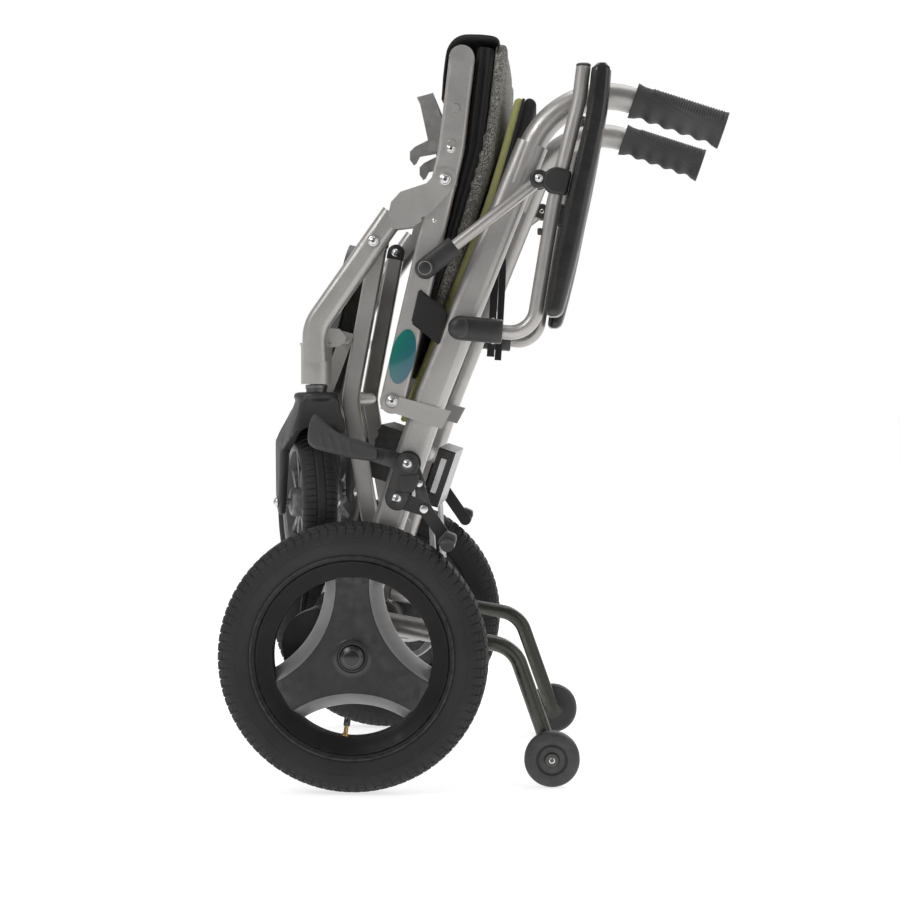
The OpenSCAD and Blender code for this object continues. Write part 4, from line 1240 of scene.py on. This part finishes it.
def link_plate(a, b, radius_a, radius_b, y0, y1):
    """A flat link with round ends."""
    d, n = directions(a, b)
    outline = [a + (n * math.cos(t) - d * math.sin(t)) * radius_a for t in half_turn(12)]
    outline += [b + (d * math.sin(t) - n * math.cos(t)) * radius_b for t in half_turn(12)]
    return pillow(outline, y0, y1, 0.7, 2)


# ---------------------------------------------------------------- electrics
def electrics():
    """Three cables run from the controller to each motor. Their light grey is a painted highlight on black
    cables.
    """
    for s, side, nodes in ((-1, "left", ["motor_cables"]), (1, "right", [])):
        bundle = Shape()
        for k, radius in enumerate((2.6, 2.2, 2.0)):
            y = s * (112 + 3.2 * k)
            line = [(82 + k, y, 325), (85 + 2 * k, y, 250), (86 + 3 * k, y, 185), (72 + 3 * k, y, 152),
                    (40, y + s * 2 * k, 141 - 2 * k), (8, y, 148 + k), (-11, y, 150 + 2 * k)]
            bundle += cord(line, radius, 90)
        piece(f"motor_cable_bundle_{side}", bundle, "cable", "rear_frame", nodes, slot="cable_sheath",
              sharp=60)


def controller_label():
    d, n = directions(Vector((-6.5, 181.3)), Vector((87.6, 459.3)))
    base = Vector((92, 364)) - d * 36
    outline = [base + d * along - n * out for along, out in ((16, -4), (60, -4), (60, 3), (16, 3))]
    piece("controller_blank_label", pillow(rounded(outline, 1), -118.1, -118.9, 0.2, 1), "label",
          "rear_frame")


def badges():
    """Blank oval plates that lie along the seat rails."""
    d, n = directions(SEAT_PIVOT, RAIL_BEND)
    middle = Vector((rail_x(511.5), 511.5))
    oval = [middle + d * (33 * math.cos(a)) + n * (14.6 * math.sin(a)) for a in full_turn(48)]
    pair("badge_plate", pillow(oval, -232.7, -234.1, 0.5, 2), "teal", "seat", ["badge"], slot="badge_print",
         sharp=60)


# ---------------------------------------------------------------- studio
def backdrop():
    """Even white light, brighter from behind, in front of a white backdrop."""
    world = bpy.data.worlds.new("studio")
    world.use_nodes = True
    bpy.context.scene.world = world
    nodes = Nodes(world.node_tree)
    direction = nodes.node("ShaderNodeTexCoord").outputs["Generated"]
    depth = nodes.node("ShaderNodeSeparateXYZ", {0: direction}).outputs[1]
    ray = nodes.node("ShaderNodeLightPath").outputs["Is Camera Ray"]
    background = world.node_tree.nodes["Background"].inputs
    nodes.feed(background["Strength"], nodes.math("MAXIMUM", ray, nodes.spread(depth, -1.0, 1.0, 0.12, 0.75)))
    nodes.feed(background["Color"], (1, 1, 1, 1))


def pale_floor():
    mesh = bpy.data.meshes.new("floor")
    mesh.from_pydata([(-40, -40, 0), (40, -40, 0), (40, 40, 0), (-40, 40, 0)], [], [(0, 1, 2, 3)])
    f = Finish("pale_floor")
    pale = f.mix(f.noise(0.7, 2), grey(0.60), grey(0.64))
    mesh.materials.append(f.done(Base_Color=pale, Roughness=0.9, Specular_IOR_Level=0.1,
                                 Emission_Color=grey(1.0), Emission_Strength=0.72))
    added("floor", mesh)


def lamps():
    for name, place, size, power, target in (
            ("key", (-1.9, -2.2, 2.6), 1.4, 34, (0.05, 0, 0.45)),
            ("fill", (2.6, -1.8, 1.5), 1.8, 12, (0.1, 0, 0.5)),
            ("top", (0.3, 0.6, 3.4), 2.4, 30, (0.1, 0, 0.3)),
            ("rear", (1.6, 2.6, 2.2), 1.6, 25, (0.1, 0, 0.5))):
        light = bpy.data.lights.new(name, "AREA")
        light.energy = power
        light.size = size
        lamp = added(name, light)
        lamp.location = place
        lamp.rotation_euler = (Vector(target) - Vector(place)).to_track_quat("-Z", "Y").to_euler()


def studio():
    backdrop()
    pale_floor()
    lamps()
    lens = bpy.data.cameras.new("camera")
    lens.lens = 95.6
    camera = added("camera", lens)
    camera.location = (0.238, -3.06, 0.473)
    camera.rotation_euler = (math.radians(90 - 1.46), 0, math.radians(2.56))
    bpy.context.scene.camera = camera
    bpy.context.scene.view_settings.view_transform = "Standard"


dress_frame()
fasteners()
strut_caps()
rear_wheel()
casters()
anti_tip_wheels()
push_grips()
armrests()
seat_cushion()
seat_sling()
backrest()
rail_straps()
brakes()
electrics()
controller_label()
badges()
studio()
